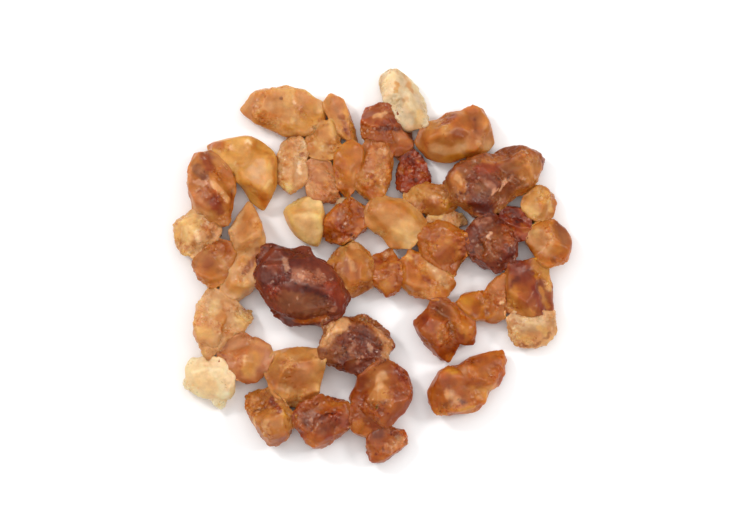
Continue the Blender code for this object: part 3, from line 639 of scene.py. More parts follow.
@dataclass(frozen=True)
class PhotoView:
    """The photograph's view of the scatter.

    Args:
        scatter_width_px: How wide the scatter is in the photograph.
        middle_px: Where the table under the scatter's middle shows in it.
        size_px: The photograph's width and height.
        elevation: How far above the table's plane the camera stands.
        distance: How far the camera stands from the table.
        sensor_mm: The width of the camera's sensor.
        step_px: How far apart the points of a path in the photograph are looked up.
    """

    scatter_width_px: float = 394.4
    middle_px: Place = (373.5, 265.5)
    size_px: Place = (750, 526)
    elevation: float = math.radians(82)
    distance: float = 0.8
    sensor_mm: float = 36.0
    step_px: float = 2.0

    @property
    def pixel(self) -> float:
        """The real size of one of the photograph's pixels."""
        return (CAD_BOX[1][0] - CAD_BOX[0][0]) / self.scatter_width_px

    @property
    def right(self) -> Vector:
        """The direction that points right in the photograph."""
        return Vector((1.0, 0.0, 0.0))

    @property
    def up(self) -> Vector:
        """The direction that points up in the photograph."""
        return Vector((0.0, math.sin(self.elevation), math.cos(self.elevation)))

    @property
    def away(self) -> Vector:
        """The direction in which the camera looks."""
        return Vector((0.0, math.cos(self.elevation), -math.sin(self.elevation)))

    def point_at(self, at_px: Place) -> Vector:
        """A point that shows at a place in the photograph, on the plane across the view through the origin.

        Args:
            at_px: The place in the photograph.

        Returns:
            The point, in metres.
        """
        across = (at_px[0] - self.middle_px[0]) * self.pixel
        upward = (self.middle_px[1] - at_px[1]) * self.pixel
        return self.right * across + self.up * upward

    def touch(self, surface: BVHTree, at_px: Place) -> Vector:
        """Where the camera sees a surface at a place in the photograph, or the nearest point to that.

        Args:
            surface: The surface.
            at_px: The place in the photograph.

        Returns:
            The point on the surface.
        """
        point = self.point_at(at_px)
        seen = surface.ray_cast(point - self.away * self.distance, self.away)[0]
        return surface.find_nearest(point)[0] if seen is None else seen

    def trace(self, surface: BVHTree, path_px: tuple[Place, ...]) -> np.ndarray:
        """Points that the camera sees on a surface along a path in the photograph.

        Args:
            surface: The surface.
            path_px: The corners of the path in the photograph, or its one place.

        Returns:
            The points, a row each.
        """
        places = list(path_px[:1])
        for start, end in zip(path_px, path_px[1:]):
            steps = math.ceil(math.dist(start, end) / self.step_px)
            places += [tuple(place) for place in np.linspace(start, end, steps + 1)[1:]]
        return np.array([self.touch(surface, place) for place in places])

    def make_camera(self) -> None:
        """Makes the camera that sees the scatter as the photograph does."""
        camera = bpy.data.cameras.new("camera")
        camera.sensor_width = self.sensor_mm
        camera.lens = self.sensor_mm * self.distance / (self.size_px[0] * self.pixel)
        stand = bpy.data.objects.new("camera", camera)
        stand.location = self.point_at((self.size_px[0] / 2, self.size_px[1] / 2)) - self.away * self.distance
        stand.rotation_euler = (math.pi / 2 - self.elevation, 0.0, 0.0)
        bpy.context.scene.collection.objects.link(stand)
        bpy.context.scene.camera = stand


VIEW = PhotoView()


def in_rows(points: np.ndarray, rows: int) -> list[slice]:
    """Slices that cut a long array into stretches of at most so many rows."""
    return [slice(start, start + rows) for start in range(0, len(points), rows)]


def distance(points: np.ndarray, trail: np.ndarray) -> np.ndarray:
    """How far each point is from the nearest point of a trail."""
    return np.linalg.norm(points[:, None] - trail, axis=2).min(1)


def eased(share: np.ndarray) -> np.ndarray:
    """A share between 0 and 1, eased at both ends."""
    share = np.clip(share, 0.0, 1.0)
    return share * share * (3 - 2 * share)


class Cloud:
    """Soft noise in space, made of waves that run in all directions.

    There are WAVES of them, and each is finer than the usual wave by a factor between the two PITCHES.
    """

    WAVES = 40
    PITCHES = (0.6, 1.5)

    def __init__(self, size: float, dice: np.random.Generator) -> None:
        """Draws the waves.

        Args:
            size: The length of an ordinary wave.
            dice: Where the random draws come from.
        """
        ways = dice.normal(size=(self.WAVES, 3))
        ways /= np.linalg.norm(ways, axis=1)[:, None]
        self.ways = ways * (2 * math.pi / size) * dice.uniform(*self.PITCHES, (self.WAVES, 1))
        self.starts = dice.uniform(0.0, 2 * math.pi, self.WAVES)

    def at(self, points: np.ndarray) -> np.ndarray:
        """The noise at points, about 0 and mostly between -2 and 2."""
        return np.cos(points @ self.ways.T + self.starts).sum(1) * math.sqrt(2 / self.WAVES)


class Crystals:
    """Seeds strewn over a surface, and the reliefs that crystals round them make.

    There are FEWEST seeds or more. The points are worked through ROWS at a time, and for blocks, which need
    more room, BLOCK_ROWS at a time. DEEPEST is how far a block lies below the highest ones, as a share of how
    high a block is.
    """

    FEWEST = 4
    ROWS = 4096
    BLOCK_ROWS = 1024
    DEEPEST = 0.35

    def __init__(self, points: np.ndarray, area: float, spacing: float, dice: np.random.Generator) -> None:
        """Strews the seeds.

        Args:
            points: The surface's points.
            area: The surface's area.
            spacing: How far apart the seeds lie, on average.
            dice: Where the random draws come from.
        """
        count = min(len(points), max(self.FEWEST, round(area / spacing**2)))
        self.points = points
        self.spacing = spacing
        self.dice = dice
        self.seeds = points[dice.choice(len(points), count, replace=False)]

    def dishes(self, tilt: float, bow: float) -> tuple[np.ndarray, np.ndarray]:
        """The relief of nearly flat faces with sharp ridges between them, as broken crystal has.

        Args:
            tilt: How steeply the faces lean.
            bow: How hollow they are.

        Returns:
            The height at each point, in metres, and the number of the face that it is in.
        """
        lean = self.dice.normal(0.0, tilt, self.seeds.shape)
        bend = bow / self.spacing
        slope = lean - 2 * bend * self.seeds
        level = bend * (self.seeds**2).sum(1) - (lean * self.seeds).sum(1)
        height = np.empty(len(self.points))
        face = np.empty(len(self.points), dtype=int)
        for rows in in_rows(self.points, self.ROWS):
            part = self.points[rows]
            reach = part @ slope.T + level
            face[rows] = reach.argmin(1)
            height[rows] = reach.min(1) + bend * (part**2).sum(1)
        return height, face

    def blocks(self, slope: float) -> np.ndarray:
        """The relief of small blocky crystals, each turned its own way, with one corner or edge outwards.

        Args:
            slope: How steep the crystals' faces are.

        Returns:
            The height at each point, in metres, up to 0.
        """
        count = len(self.seeds)
        turned = np.linalg.qr(self.dice.normal(size=(count, 3, 3)))[0]
        lift = self.dice.uniform(-self.DEEPEST, 0.0, count) * self.spacing * slope
        height = np.empty(len(self.points))
        for rows in in_rows(self.points, self.BLOCK_ROWS):
            part = self.points[rows]
            reach = np.zeros((len(part), count))
            for axis in range(3):
                way = turned[:, axis]
                along = np.abs(part @ way.T - (way * self.seeds).sum(1))
                reach = np.maximum(reach, along)
            height[rows] = (lift - slope * reach).max(1)
        return height

    def nearest(self) -> np.ndarray:
        """Finds the seed that is nearest to each point.

        Returns:
            The seed's number for each point.
        """
        nearest = np.empty(len(self.points), dtype=int)
        level = (self.seeds**2).sum(1)
        for rows in in_rows(self.points, self.ROWS):
            nearest[rows] = (level - 2 * self.points[rows] @ self.seeds.T).argmin(1)
        return nearest


class Neighbours:
    """The surfaces of the lumps that a lump may lean on."""

    def __init__(self, nodes: list[bpy.types.Object]) -> None:
        """Reads the surfaces.

        Args:
            nodes: The lumps' nodes.
        """
        points, faces = [], []
        self.tops = []
        for node in nodes:
            start = len(points)
            points += [vertex.co for vertex in node.data.vertices]
            faces += [[start + corner for corner in face.vertices] for face in node.data.polygons]
            self.tops += [max(point.z for point in points[start:])] * (len(faces) - len(self.tops))
        self.tree = BVHTree.FromPolygons(points, faces)

    def nearest(self, point: Vector, far: float) -> tuple[Vector | None, float, float]:
        """The nearest place on them to a point.

        Args:
            point: The point.
            far: How far off it may be.

        Returns:
            The place, or None where there is none, how far off it is, and how high that lump is.
        """
        place, _, face, away = self.tree.find_nearest(point, far)
        return (None, far, 0.0) if place is None else (place, away, self.tops[face])


def netted(rough: bpy.types.Mesh, voxel: float) -> bpy.types.Mesh:
    """Covers a shape with an even fine mesh, and removes its old one.

    Args:
        rough: The old mesh.
        voxel: The size of the new mesh's faces.

    Returns:
        The new mesh.
    """
    thing = bpy.data.objects.new(rough.name, rough)
    bpy.context.scene.collection.objects.link(thing)
    net = thing.modifiers.new("net", "REMESH")
    net.mode = "VOXEL"
    net.voxel_size = voxel
    graph = bpy.context.evaluated_depsgraph_get()
    fine = bpy.data.meshes.new_from_object(thing.evaluated_get(graph), depsgraph=graph)
    bpy.data.objects.remove(thing, do_unlink=True)
    bpy.data.meshes.remove(rough)
    return fine


@dataclass
class LumpShape:
    """The shape of one lump.

    Args:
        node: Its CAD node.
        others: The other lumps that it may lean on.
        crust: How crusty it is.
        ridges: The ridges that show on it.
        dice: Where the random draws come from.
        voxel: The size of its mesh's faces.
        touching: How near two points count as one.
        swell: How far it swells all round.
        lap: How far it reaches past the middle of a gap that it closes.
        near: The widest gap to a neighbour that is closed.
        far: The width from which a gap is left as it is.
        shoulder: How far off a neighbour a point still leans towards it.
        waist: The share of its height up to which neighbours are looked for.
        roof: The share of the lower lump's height up to which the seam between two lumps is filled.
        evening: How many rounds even out the way that it leans.
        least_softening: How many rounds soften a crusty lump.
        softening: How many rounds more soften a lump without crust.
        softest_crust: The crust from which a lump is softened least.
        grip: The height above the table from which points are quite free to move.
        foot: The height up to which points aren't softened.
        face_spacing: How far apart its broad faces lie.
        face_tilt: How steeply they lean on a crusty lump.
        face_least: The share of that lean on a lump without crust.
        face_bow: How hollow they are.
        ridge_sink: The share of a ridge's height by which the faces beside it sink.
        ridge_hold: How far down the lump's sides ridges run; a higher value takes them further.
        grain_spacing: How far apart the crystals of the crust lie.
        grain_slope: How steep their sides are.
        fine_spacing: How far apart the small crystals between them lie.
        fine_slope: How steep these crystals' sides are.
        crust_gain: How fast the crust grows with the lump's own value.
        crust_start: The crust that is taken off everywhere.
        crust_drift: How much the crust comes and goes over the lump.
        crust_patch: How long its thicker and thinner stretches are.
        least_crust: The least crust anywhere.
        mesh: The mesh, once built.
        points: The mesh's points.
        normals: The points' normals.
        area: The area of the smooth shape.
        crusty: How crusty each point is.
        nearness: How near to a neighbour each point is, from 0 to 1.
        face: The number of the broad face that each point is in.
    """

    node: bpy.types.Object
    others: Neighbours
    crust: float
    ridges: tuple[Ridge, ...]
    dice: np.random.Generator
    voxel: float = 0.24 * MM
    touching: float = 0.001 * MM
    swell: float = 0.10 * MM
    lap: float = 0.45 * MM
    near: float = 1.6 * MM
    far: float = 2.8 * MM
    shoulder: float = 4.0 * MM
    waist: float = 0.35
    roof: float = 0.86
    evening: int = 10
    least_softening: int = 2
    softening: int = 24
    softest_crust: float = 0.25
    grip: float = 0.5 * MM
    foot: float = 0.1 * MM
    face_spacing: float = 4.0 * MM
    face_tilt: float = 0.15
    face_least: float = 0.30
    face_bow: float = 0.05
    ridge_sink: float = 0.35
    ridge_hold: float = 1.5
    grain_spacing: float = 1.3 * MM
    grain_slope: float = 0.54
    fine_spacing: float = 0.65 * MM
    fine_slope: float = 0.42
    crust_gain: float = 1.2
    crust_start: float = 0.1
    crust_drift: float = 0.3
    crust_patch: float = 7.0 * MM
    least_crust: float = 0.06
    mesh: bpy.types.Mesh = field(init=False)
    points: np.ndarray = field(init=False)
    normals: np.ndarray = field(init=False)
    area: float = field(init=False)
    crusty: np.ndarray = field(init=False)
    nearness: np.ndarray = field(init=False)
    face: np.ndarray = field(init=False)

    def remesh(self) -> None:
        """Covers a merged copy of the node with an even fine mesh."""
        shape = bmesh.new()
        shape.from_mesh(self.node.data)
        bmesh.ops.remove_doubles(shape, verts=shape.verts[:], dist=self.touching)
        rough = bpy.data.meshes.new(self.node.name + "_look")
        shape.to_mesh(rough)
        shape.free()
        self.mesh = netted(rough, self.voxel)
        self.read()
        self.area = sum(face.area for face in self.mesh.polygons)

    def read(self) -> None:
        """Reads the points and their normals from the mesh."""
        flat = np.empty(len(self.mesh.vertices) * 3)
        self.mesh.vertices.foreach_get("co", flat)
        self.points = flat.reshape(-1, 3).copy()
        self.mesh.vertex_normals.foreach_get("vector", flat)
        self.normals = flat.reshape(-1, 3).copy()

    def write(self) -> None:
        """Writes the points back to the mesh and reads its normals again."""
        self.points[:, 2] = np.maximum(self.points[:, 2], 0.0)
        self.mesh.vertices.foreach_set("co", self.points.ravel())
        self.mesh.update()
        self.read()

    def free_share(self) -> np.ndarray:
        """How free each point is to move, from 0 on the table to 1."""
        return np.clip(self.points[:, 2] / self.grip, 0.0, 1.0)[:, None]

    def move_out(self, height: np.ndarray) -> None:
        """Moves each point along its normal.

        Args:
            height: How far each point moves, in metres.
        """
        self.points += self.normals * height[:, None] * self.free_share()
        self.write()

    def smoothed(self, values: np.ndarray, rounds: int) -> np.ndarray:
        """Values at the points, each evened out with its neighbours' a number of times.

        Args:
            values: A row for each point.
            rounds: How many times they are evened out.

        Returns:
            The smoother values.
        """
        ends = np.empty(len(self.mesh.edges) * 2, dtype=int)
        self.mesh.edges.foreach_get("vertices", ends)
        near, far = ends.reshape(-1, 2).T
        ties = np.bincount(ends, minlength=len(values))
        for _ in range(rounds):
            total = np.empty_like(values)
            for axis in range(values.shape[1]):
                column = values[:, axis]
                total[:, axis] = np.bincount(near, column[far], len(values))
                total[:, axis] += np.bincount(far, column[near], len(values))
            values = (values + total / ties[:, None]) / 2
        return values

    def surface(self) -> BVHTree:
        """The surface as it is now, to find places on."""
        faces = [tuple(face.vertices) for face in self.mesh.polygons]
        return BVHTree.FromPolygons([Vector(point) for point in self.points], faces)

    def leaning(self, row: int, own: BVHTree, top: float) -> np.ndarray:
        """How one point moves towards the nearest neighbour. How near that is goes into nearness.

        Args:
            row: The point's row.
            own: The lump's own surface.
            top: The lump's height.

        Returns:
            The point's way, in metres.
        """
        point = self.points[row]
        low = Vector((point[0], point[1], min(point[2], top * self.waist)))
        place, away, height = self.others.nearest(low, self.shoulder)
        if place is None or away < self.touching:
            return np.zeros(3)
        way = (place - low) / away
        gap = own.ray_cast(place, -way, away)[3] or away
        fade = min(1.0, max(0.0, (self.far - gap) / (self.far - self.near)))
        fade *= 1.0 - max(0.0, (away - gap) / (self.shoulder - gap))
        facing = max(0.0, float(np.dot(way, self.normals[row])))
        self.nearness[row] = fade
        reach = np.array(way) * (gap / 2 + self.lap) * facing * fade
        lift = self.roof * min(top, height) - point[2]
        if lift > 0 and point[2] > low.z:
            reach[2] += lift * fade
        return reach

    def lean_on_others(self) -> None:
        """Fills the lump out towards the lumps that it lies against, up to their shoulders."""
        own = self.surface()
        top = self.points[:, 2].max()
        self.nearness = np.zeros(len(self.points))
        reach = np.array([self.leaning(row, own, top) for row in range(len(self.points))])
        self.points += self.smoothed(reach, self.evening) * self.free_share()
        self.nearness = self.smoothed(self.nearness[:, None], self.evening)[:, 0]

    def soften(self) -> None:
        """Rounds the lump above its foot, the more the smoother its sugar is, and swells it a little."""
        softness = max(0.0, 1.0 - self.crust / self.softest_crust)
        soft = self.smoothed(self.points, self.least_softening + round(self.softening * softness))
        flat = self.points[:, 2] < self.foot
        self.points = np.where(flat[:, None], self.points, soft)
        self.write()
        self.move_out(np.full(len(self.points), self.swell))

    def even_out(self) -> None:
        """Covers the shape with a new even mesh, which takes the nearness over from the old one."""
        old = KDTree(len(self.points))
        for row, point in enumerate(self.points):
            old.insert(point, row)
        old.balance()
        self.mesh = netted(self.mesh, self.voxel)
        self.read()
        self.nearness = self.nearness[[old.find(point)[1] for point in self.points]]

    def crease(self) -> None:
        """Raises the ridges that show in the photograph, and sinks the faces beside them a little."""
        surface = self.surface()
        heights = np.zeros(len(self.points))
        for line in self.ridges:
            away = distance(self.points, VIEW.trace(surface, line.path_px)) / line.width
            heights += line.height * (np.clip(1.0 - away, 0.0, 1.0) - self.ridge_sink * (line.height > 0))
        self.move_out(heights * np.clip(self.normals[:, 2] * self.ridge_hold, 0.0, 1.0))

    def crystals(self, spacing: float) -> Crystals:
        """Crystals strewn over the surface as it is now."""
        return Crystals(self.points, self.area, spacing, self.dice)

    def break_faces(self) -> None:
        """Breaks the surface into broad, nearly flat faces."""
        tilt = self.face_tilt * min(1.0, self.face_least + self.crust)
        relief, self.face = self.crystals(self.face_spacing).dishes(tilt, self.face_bow)
        self.move_out(relief - relief.mean())

    def roughen(self) -> None:
        """Covers the lump with the crystals of its crust, where it is crusty."""
        grain = self.crystals(self.grain_spacing).blocks(self.grain_slope)
        fine = self.crystals(self.fine_spacing).blocks(self.fine_slope)
        drift = Cloud(self.crust_patch, self.dice).at(self.points) * self.crust_drift
        crusty = self.crust * self.crust_gain - self.crust_start + drift
        self.crusty = np.clip(crusty, self.least_crust, 1.0)
        self.move_out((grain - grain.mean() + fine - fine.mean()) * self.crusty)

    def build(self) -> None:
        """Makes the whole shape."""
        self.remesh()
        self.lean_on_others()
        self.soften()
        self.even_out()
        self.crease()
        self.break_faces()
        self.roughen()


@dataclass
class LumpPaint:
    """The colours of one lump.

    Args:
        look: How it looks.
        shape: Its finished shape.
        dice: Where the random draws come from.
        warp: How far the edges of patches wander.
        warp_size: The length of the waves in them.
        grain: The size of the crystals that take a patch's colour whole.
        grain_share: How far these crystals rule where a patch ends, on the thickest crust.
        grain_gain: How fast that grows with the crust.
        patch_full: The share of a patch's radius up to which its colour is full.
        patch_end: The share of its radius where its colour ends.
        fine_grain: The size of the crystals that differ in shade and gloss.
        speck_shade: How much they differ in shade.
        glints: The share of them that get a painted glint, and the share that are dark, on the thickest
            crust.
        glint: How dark the dark ones are.
        spark_share: How much of the painted glint colour the sparkling ones take.
        cloud_size: The size of the broad clouds in the sugar.
        cloud_shade: How strong they are.
        wisp_size: The size of the small clouds, which are half as strong.
        face_shade: How much the painted shade differs between the broad faces.
        face_rounds: How many rounds soften the steps between them.
        flank: How far a surface faces upwards where the flanks, with their painted glow and shade, begin.
        flank_glow: How much lighter a flank is painted beside a neighbour: painted glow in the seam's shade.
        flank_painted_shade: The painted warm shade, by which an upright flank's red, green and blue are
            multiplied.
        brightest: The brightest that a colour may be.
        smooth_rough: The roughness of smooth sugar.
        sharpest: The roughness of the glossiest crystals of a thick crust.
        dullest: The roughness of its dullest ones.
        seam_gain: How fast the depth of light falls towards a seam.
        least_depth: The share of the depth of light that is left in a seam.
    """

    look: Lump
    shape: LumpShape
    dice: np.random.Generator
    warp: float = 0.20 * MM
    warp_size: float = 2.0 * MM
    grain: float = 0.8 * MM
    grain_share: float = 0.5
    grain_gain: float = 2.0
    patch_full: float = 0.55
    patch_end: float = 1.35
    fine_grain: float = 0.5 * MM
    speck_shade: float = 0.14
    glints: float = 0.04
    glint: float = 0.32
    spark_share: float = 0.16
    cloud_size: float = 6.0 * MM
    cloud_shade: float = 0.07
    wisp_size: float = 2.5 * MM
    face_shade: float = 0.09
    face_rounds: int = 3
    flank: float = 0.85
    flank_glow: float = 0.36
    flank_painted_shade: tuple[float, float, float] = (1.06, 0.95, 0.76)
    brightest: float = 0.98
    smooth_rough: float = 0.38
    sharpest: float = 0.14
    dullest: float = 0.50
    seam_gain: float = 1.5
    least_depth: float = 0.06

    def cloud(self, size: float) -> np.ndarray:
        """Soft noise at the points."""
        return Cloud(size, self.dice).at(self.shape.points)

    def crystals(self, size: float) -> Crystals:
        """Crystals strewn over the surface."""
        return Crystals(self.shape.points, self.shape.area, size, self.dice)

    def patched(self) -> np.ndarray:
        """The lump's own tint with its patches.

        Returns:
            A colour for each point.
        """
        colour = np.tile(self.look.tint.linear(), (len(self.shape.points), 1))
        surface = self.shape.surface()
        drift = [self.cloud(self.warp_size) for _ in range(3)]
        drifted = self.shape.points + np.stack(drift, axis=1) * self.warp
        grains = self.crystals(self.grain)
        grain = grains.seeds[grains.nearest()]
        broken = np.clip(self.shape.crusty * self.grain_gain, 0.0, 1.0) * self.grain_share
        for spot in self.look.patches:
            trail = VIEW.trace(surface, spot.path_px)
            away = distance(drifted, trail) * (1 - broken) + distance(grain, trail) * broken
            inside = (self.patch_end - away / spot.radius) / (self.patch_end - self.patch_full)
            share = (eased(inside) * spot.strength)[:, None]
            colour = colour * (1 - share) + spot.tint.linear() * share
        return colour

    def face_shades(self) -> np.ndarray:
        """Draws a painted shade for each broad face, lighter or darker at random.

        Returns:
            The painted shade at each point, with soft steps between the faces.
        """
        face = self.shape.face
        shades = self.dice.uniform(-self.face_shade, self.face_shade, face.max() + 1)[face]
        return self.shape.smoothed(shades[:, None], self.face_rounds)[:, 0]

    def paint(self) -> None:
        """Stores the colours at the mesh's points."""
        colour = self.patched()
        crusty = self.shape.crusty
        shade = self.cloud(self.cloud_size) * self.cloud_shade
        shade += self.cloud(self.wisp_size) * self.cloud_shade / 2
        fine = self.crystals(self.fine_grain)
        speck = fine.nearest()
        lot = self.dice.uniform(size=len(fine.seeds))[speck]
        shade += (2 * lot - 1) * self.speck_shade * crusty
        # Painted glints: a few fine crystals of the crust take the spark colour.
        sparks = (lot > 1 - self.glints * crusty)[:, None] * self.spark_share
        colour = colour * (1 - sparks) + Tint.SPARK.linear() * sparks
        shade -= np.where(lot < self.glints * crusty, self.glint, 0.0)
        # Painted shade that differs from one broad face to the next.
        shade += self.face_shades()
        # How upright each point is: the mask for the painted glow and shade on the flanks.
        flank = eased(1 - self.shape.normals[:, 2] / self.flank)
        # Painted glow: flanks beside a neighbour are painted lighter, where the seam lies in shade.
        shade += flank * self.flank_glow * self.shape.nearness
        # Painted warm shade on upright flanks, multiplied into the colour.
        colour = colour ** (1 - shade)[:, None] * np.array(self.flank_painted_shade) ** flank[:, None]
        rough = self.dice.uniform(self.sharpest, self.dullest, len(fine.seeds))[speck]
        opaque = np.ones(len(colour))
        self.store("tint", "FLOAT_COLOR", np.column_stack((np.clip(colour, 0.0, self.brightest), opaque)))
        self.store("rough", "FLOAT", self.smooth_rough + (rough - self.smooth_rough) * crusty)
        seam = eased(self.shape.nearness * self.seam_gain)
        self.store("depth", "FLOAT", 1 - (1 - self.least_depth) * seam)

    def store(self, name: str, kind: str, values: np.ndarray) -> None:
        """Stores values at the mesh's points.

        Args:
            name: The name of the attribute that holds them.
            kind: Blender's name for what a value is.
            values: The values, a row for each point.
        """
        layer = self.shape.mesh.attributes.new(name, kind, "POINT")
        layer.data.foreach_set("color" if values.ndim == 2 else "value", values.astype(np.float32).ravel())


def with_inputs(node: bpy.types.Node, **values: object) -> bpy.types.Node:
    """Sets a node's inputs.

    Args:
        node: The node.
        values: The inputs' values, by their names with _ for each space.

    Returns:
        The node.
    """
    for name, value in values.items():
        node.inputs[name.replace("_", " ")].default_value = value
    return node


@dataclass(frozen=True)
class SugarFinish:
    """The finish of one sort of sugar, which takes its tint, roughness and depth from the mesh's points.

    Args:
        radius: How far red, green and blue light travel in it, in metres.
        clearness: How much of it is clear, from 0 to 1.
        cloudiness: How much of it scatters light.
        bending: Its index of refraction.
        gloss: How strong its gloss is, where 0.5 is the usual.
        gloss_tint: The colour of its gloss.
        cloud_scale: How many clouds run along a metre of it.
        cloud_detail: How fine their detail is.
        cloud_rough: How strong their detail is.
        cloud_span: The noise's own span that is used.
        cloud_shades: The shades that this span is turned into.
        grit_scale: How many small pits run along a metre of it.
        grit_detail: How fine their detail is.
        grit_strength: How strong they are.
        grit_depth: How deep they are.
    """

    radius: tuple[float, float, float]
    clearness: float
    cloudiness: float = 0.8
    bending: float = 1.5
    gloss: float = 0.40
    gloss_tint: tuple[float, float, float, float] = (1.0, 0.93, 0.82, 1.0)
    cloud_scale: float = 500.0
    cloud_detail: float = 5.0
    cloud_rough: float = 0.62
    cloud_span: tuple[float, float] = (0.3, 0.7)
    cloud_shades: tuple[float, float] = (0.84, 1.16)
    grit_scale: float = 2600.0
    grit_detail: float = 3.0
    grit_strength: float = 0.5
    grit_depth: float = 0.05 * MM

    def stored(self, tree: bpy.types.NodeTree, name: str, output: str) -> bpy.types.NodeSocket:
        """Adds a node that reads what is stored at the mesh's points.

        Args:
            tree: The material's nodes.
            name: The name of the attribute.
            output: The name of the node's output.

        Returns:
            That output.
        """
        reader = tree.nodes.new("ShaderNodeAttribute")
        reader.attribute_name = name
        return reader.outputs[output]

    def noise(self, tree: bpy.types.NodeTree, **values: float) -> bpy.types.NodeSocket:
        """Adds a noise on Object coordinates.

        Args:
            tree: The material's nodes.
            values: The noise's inputs.

        Returns:
            Its output.
        """
        place = tree.nodes.new("ShaderNodeTexCoord")
        noise = with_inputs(tree.nodes.new("ShaderNodeTexNoise"), **values)
        tree.links.new(place.outputs["Object"], noise.inputs["Vector"])
        return noise.outputs["Fac"]

    def clouded(self, tree: bpy.types.NodeTree) -> bpy.types.NodeSocket:
        """Lays small clouds over the stored tint.

        Args:
            tree: The material's nodes.

        Returns:
            The clouded tint.
        """
        cloud = self.noise(tree, Scale=self.cloud_scale, Detail=self.cloud_detail, Roughness=self.cloud_rough)
        (least, most), (dark, light) = self.cloud_span, self.cloud_shades
        shade = tree.nodes.new("ShaderNodeMapRange")
        with_inputs(shade, From_Min=least, From_Max=most, To_Min=dark, To_Max=light)
        tree.links.new(cloud, shade.inputs["Value"])
        shaded = tree.nodes.new("ShaderNodeVectorMath")
        shaded.operation = "SCALE"
        tree.links.new(self.stored(tree, "tint", "Color"), shaded.inputs[0])
        tree.links.new(shade.outputs["Result"], shaded.inputs["Scale"])
        return shaded.outputs["Vector"]

    def gritty(self, tree: bpy.types.NodeTree) -> bpy.types.NodeSocket:
        """Roughens the surface with small pits.

        Args:
            tree: The material's nodes.

        Returns:
            The pitted surface's normal.
        """
        bump = tree.nodes.new("ShaderNodeBump")
        with_inputs(bump, Strength=self.grit_strength, Distance=self.grit_depth)
        grit = self.noise(tree, Scale=self.grit_scale, Detail=self.grit_detail)
        tree.links.new(grit, bump.inputs["Height"])
        return bump.outputs["Normal"]

    def material(self, name: str) -> bpy.types.Material:
        """Makes the material.

        Args:
            name: Its name.

        Returns:
            The material.
        """
        material = bpy.data.materials.new(name)
        material.use_nodes = True
        tree = material.node_tree
        shader = with_inputs(
            tree.nodes["Principled BSDF"],
            IOR=self.bending,
            Specular_IOR_Level=self.gloss,
            Specular_Tint=self.gloss_tint,
            Subsurface_Weight=self.cloudiness,
            Subsurface_Radius=self.radius,
            Transmission_Weight=self.clearness,
        )
        tree.links.new(self.clouded(tree), shader.inputs["Base Color"])
        tree.links.new(self.stored(tree, "rough", "Fac"), shader.inputs["Roughness"])
        tree.links.new(self.stored(tree, "depth", "Fac"), shader.inputs["Subsurface Scale"])
        tree.links.new(self.gritty(tree), shader.inputs["Normal"])
        return material


class Sort(Enum):
    """The sorts of sugar, whose names start the names of their nodes, and their finishes."""

    PALE = SugarFinish(radius=(6.4 * MM, 5.0 * MM, 3.8 * MM), clearness=0.2)
    HONEY = SugarFinish(radius=(6.8 * MM, 4.4 * MM, 2.5 * MM), clearness=0.15)
    AMBER = SugarFinish(radius=(6.2 * MM, 3.6 * MM, 1.8 * MM), clearness=0.12)
    BROWN = SugarFinish(radius=(5.0 * MM, 2.6 * MM, 1.3 * MM), clearness=0.05)
    DARK = SugarFinish(radius=(3.4 * MM, 1.6 * MM, 0.9 * MM), clearness=0.0)


def may_touch(node: bpy.types.Object, other: bpy.types.Object) -> bool:
    """Whether the lumps of two nodes may lean on each other, by the numbers that end the nodes' names."""
    numbers = {int(thing.name[-2:]) for thing in (node, other)}
    return len(numbers) == 2 and numbers not in APART


@dataclass
class SugarPiece:
    """All the lumps of one sort of sugar, as one piece.

    Args:
        sort: The sort of sugar.
        most_faces: The most triangles that the piece keeps.
    """

    sort: Sort
    most_faces: int = 195_000

    @property
    def kind(self) -> str:
        """The sort's name as the names of its nodes have it."""
        return self.sort.name.lower()

    def lumps(self) -> dict[str, Lump]:
        """The lumps of this sort, by the names of their nodes."""
        named = {f"{self.kind}_lump_{look.number:02d}": look for look in LUMPS}
        return {name: look for name, look in named.items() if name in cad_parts}

    def make_lump(self, name: str, look: Lump) -> bpy.types.Mesh:
        """Makes one lump.

        Args:
            name: The name of its node.
            look: How it looks.

        Returns:
            Its mesh, with its colours.
        """
        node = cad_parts[name]
        others = Neighbours([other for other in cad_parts.values() if may_touch(node, other)])
        dice = np.random.default_rng(look.number)
        shape = LumpShape(node, others, look.crust, look.ridges, dice)
        shape.build()
        LumpPaint(look, shape, dice).paint()
        return shape.mesh

    def build(self) -> bpy.types.Object:
        """Makes the lumps, joins them and dresses the piece.

        Returns:
            The piece.
        """
        names = []
        whole = bmesh.new()
        for name, look in self.lumps().items():
            names.append(name)
            lump = self.make_lump(name, look)
            whole.from_mesh(lump)
            bpy.data.meshes.remove(lump)
        bmesh.ops.triangulate(whole, faces=whole.faces[:])
        mesh = bpy.data.meshes.new(f"{self.kind}_lumps")
        whole.to_mesh(mesh)
        whole.free()
        mesh.shade_smooth()
        mesh.materials.append(self.sort.value.material(f"{self.kind}_sugar"))
        piece = bpy.data.objects.new(mesh.name, mesh)
        bpy.context.scene.collection.objects.link(piece)
        if len(mesh.polygons) > self.most_faces:
            thin = piece.modifiers.new("thin", "DECIMATE")
            thin.ratio = self.most_faces / len(mesh.polygons)
        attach(piece, "root")
        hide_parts(*names)
        return piece


@dataclass(frozen=True)
class Lamp:
    """A square soft lamp that points at the scatter's middle.

    Args:
        name: Its name.
        place: Where it hangs.
        size: The length of its sides.
        watts: How strong it is.
    """

    name: str
    place: tuple[float, float, float]
    size: float
    watts: float

    def build(self) -> None:
        """Makes the lamp."""
        light = bpy.data.lights.new(self.name, "AREA")
        light.size = self.size
        light.energy = self.watts
        stand = bpy.data.objects.new(self.name, light)
        stand.location = self.place
        stand.rotation_euler = (-stand.location).to_track_quat("-Z", "Y").to_euler()
        bpy.context.scene.collection.objects.link(stand)


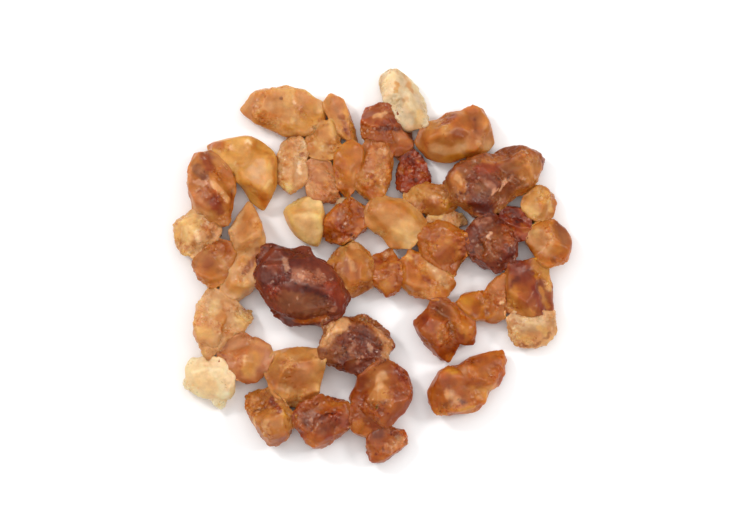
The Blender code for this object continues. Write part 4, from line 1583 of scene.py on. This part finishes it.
@dataclass(frozen=True)
class Studio:
    """The white table and the soft light.

    Args:
        table_size: The length of the table's sides.
        table_white: How white it is.
        table_rough: How rough it is.
        sky: How strong the light from all round is.
        lamps: The lamps.
    """

    table_size: float = 3.0
    table_white: float = 0.94
    table_rough: float = 0.9
    sky: float = 0.59
    lamps: tuple[Lamp, ...] = (
        Lamp("top_lamp", (-0.05, 0.10, 0.95), size=1.0, watts=3.9),
        Lamp("left_lamp", (-0.35, 0.25, 0.45), size=0.12, watts=1.2),
        Lamp("right_lamp", (0.40, 0.05, 0.40), size=0.12, watts=0.9),
    )

    def paper(self) -> bpy.types.Material:
        """Makes the table's material.

        Returns:
            The material.
        """
        paper = bpy.data.materials.new("white_paper")
        paper.use_nodes = True
        white = (self.table_white, self.table_white, self.table_white, 1.0)
        shader = paper.node_tree.nodes["Principled BSDF"]
        with_inputs(shader, Base_Color=white, Roughness=self.table_rough, Specular_IOR_Level=0.0)
        return paper

    def make_table(self) -> None:
        """Makes the table."""
        ground = bmesh.new()
        bmesh.ops.create_grid(ground, x_segments=1, y_segments=1, size=self.table_size / 2)
        mesh = bpy.data.meshes.new("table")
        ground.to_mesh(mesh)
        ground.free()
        mesh.materials.append(self.paper())
        table = bpy.data.objects.new("table", mesh)
        bpy.context.scene.collection.objects.link(table)

    def make_sky(self) -> None:
        """Makes the white light from all round."""
        world = bpy.data.worlds.new("sky")
        world.use_nodes = True
        with_inputs(world.node_tree.nodes["Background"], Color=(1.0, 1.0, 1.0, 1.0), Strength=self.sky)
        bpy.context.scene.world = world
        bpy.context.scene.view_settings.view_transform = "Standard"

    def build(self) -> None:
        """Makes the table, the lamps and the sky."""
        self.make_table()
        for lamp in self.lamps:
            lamp.build()
        self.make_sky()


def main() -> None:
    """Builds the scatter's pieces, then the table, the light and the camera."""
    logging.basicConfig(level=logging.INFO, format="%(message)s")
    for sort in Sort:
        piece = SugarPiece(sort).build()
        LOG.info("%s: %d triangles in its mesh", piece.name, len(piece.data.polygons))
    Studio().build()
    VIEW.make_camera()


if __name__ == "__main__":
    main()
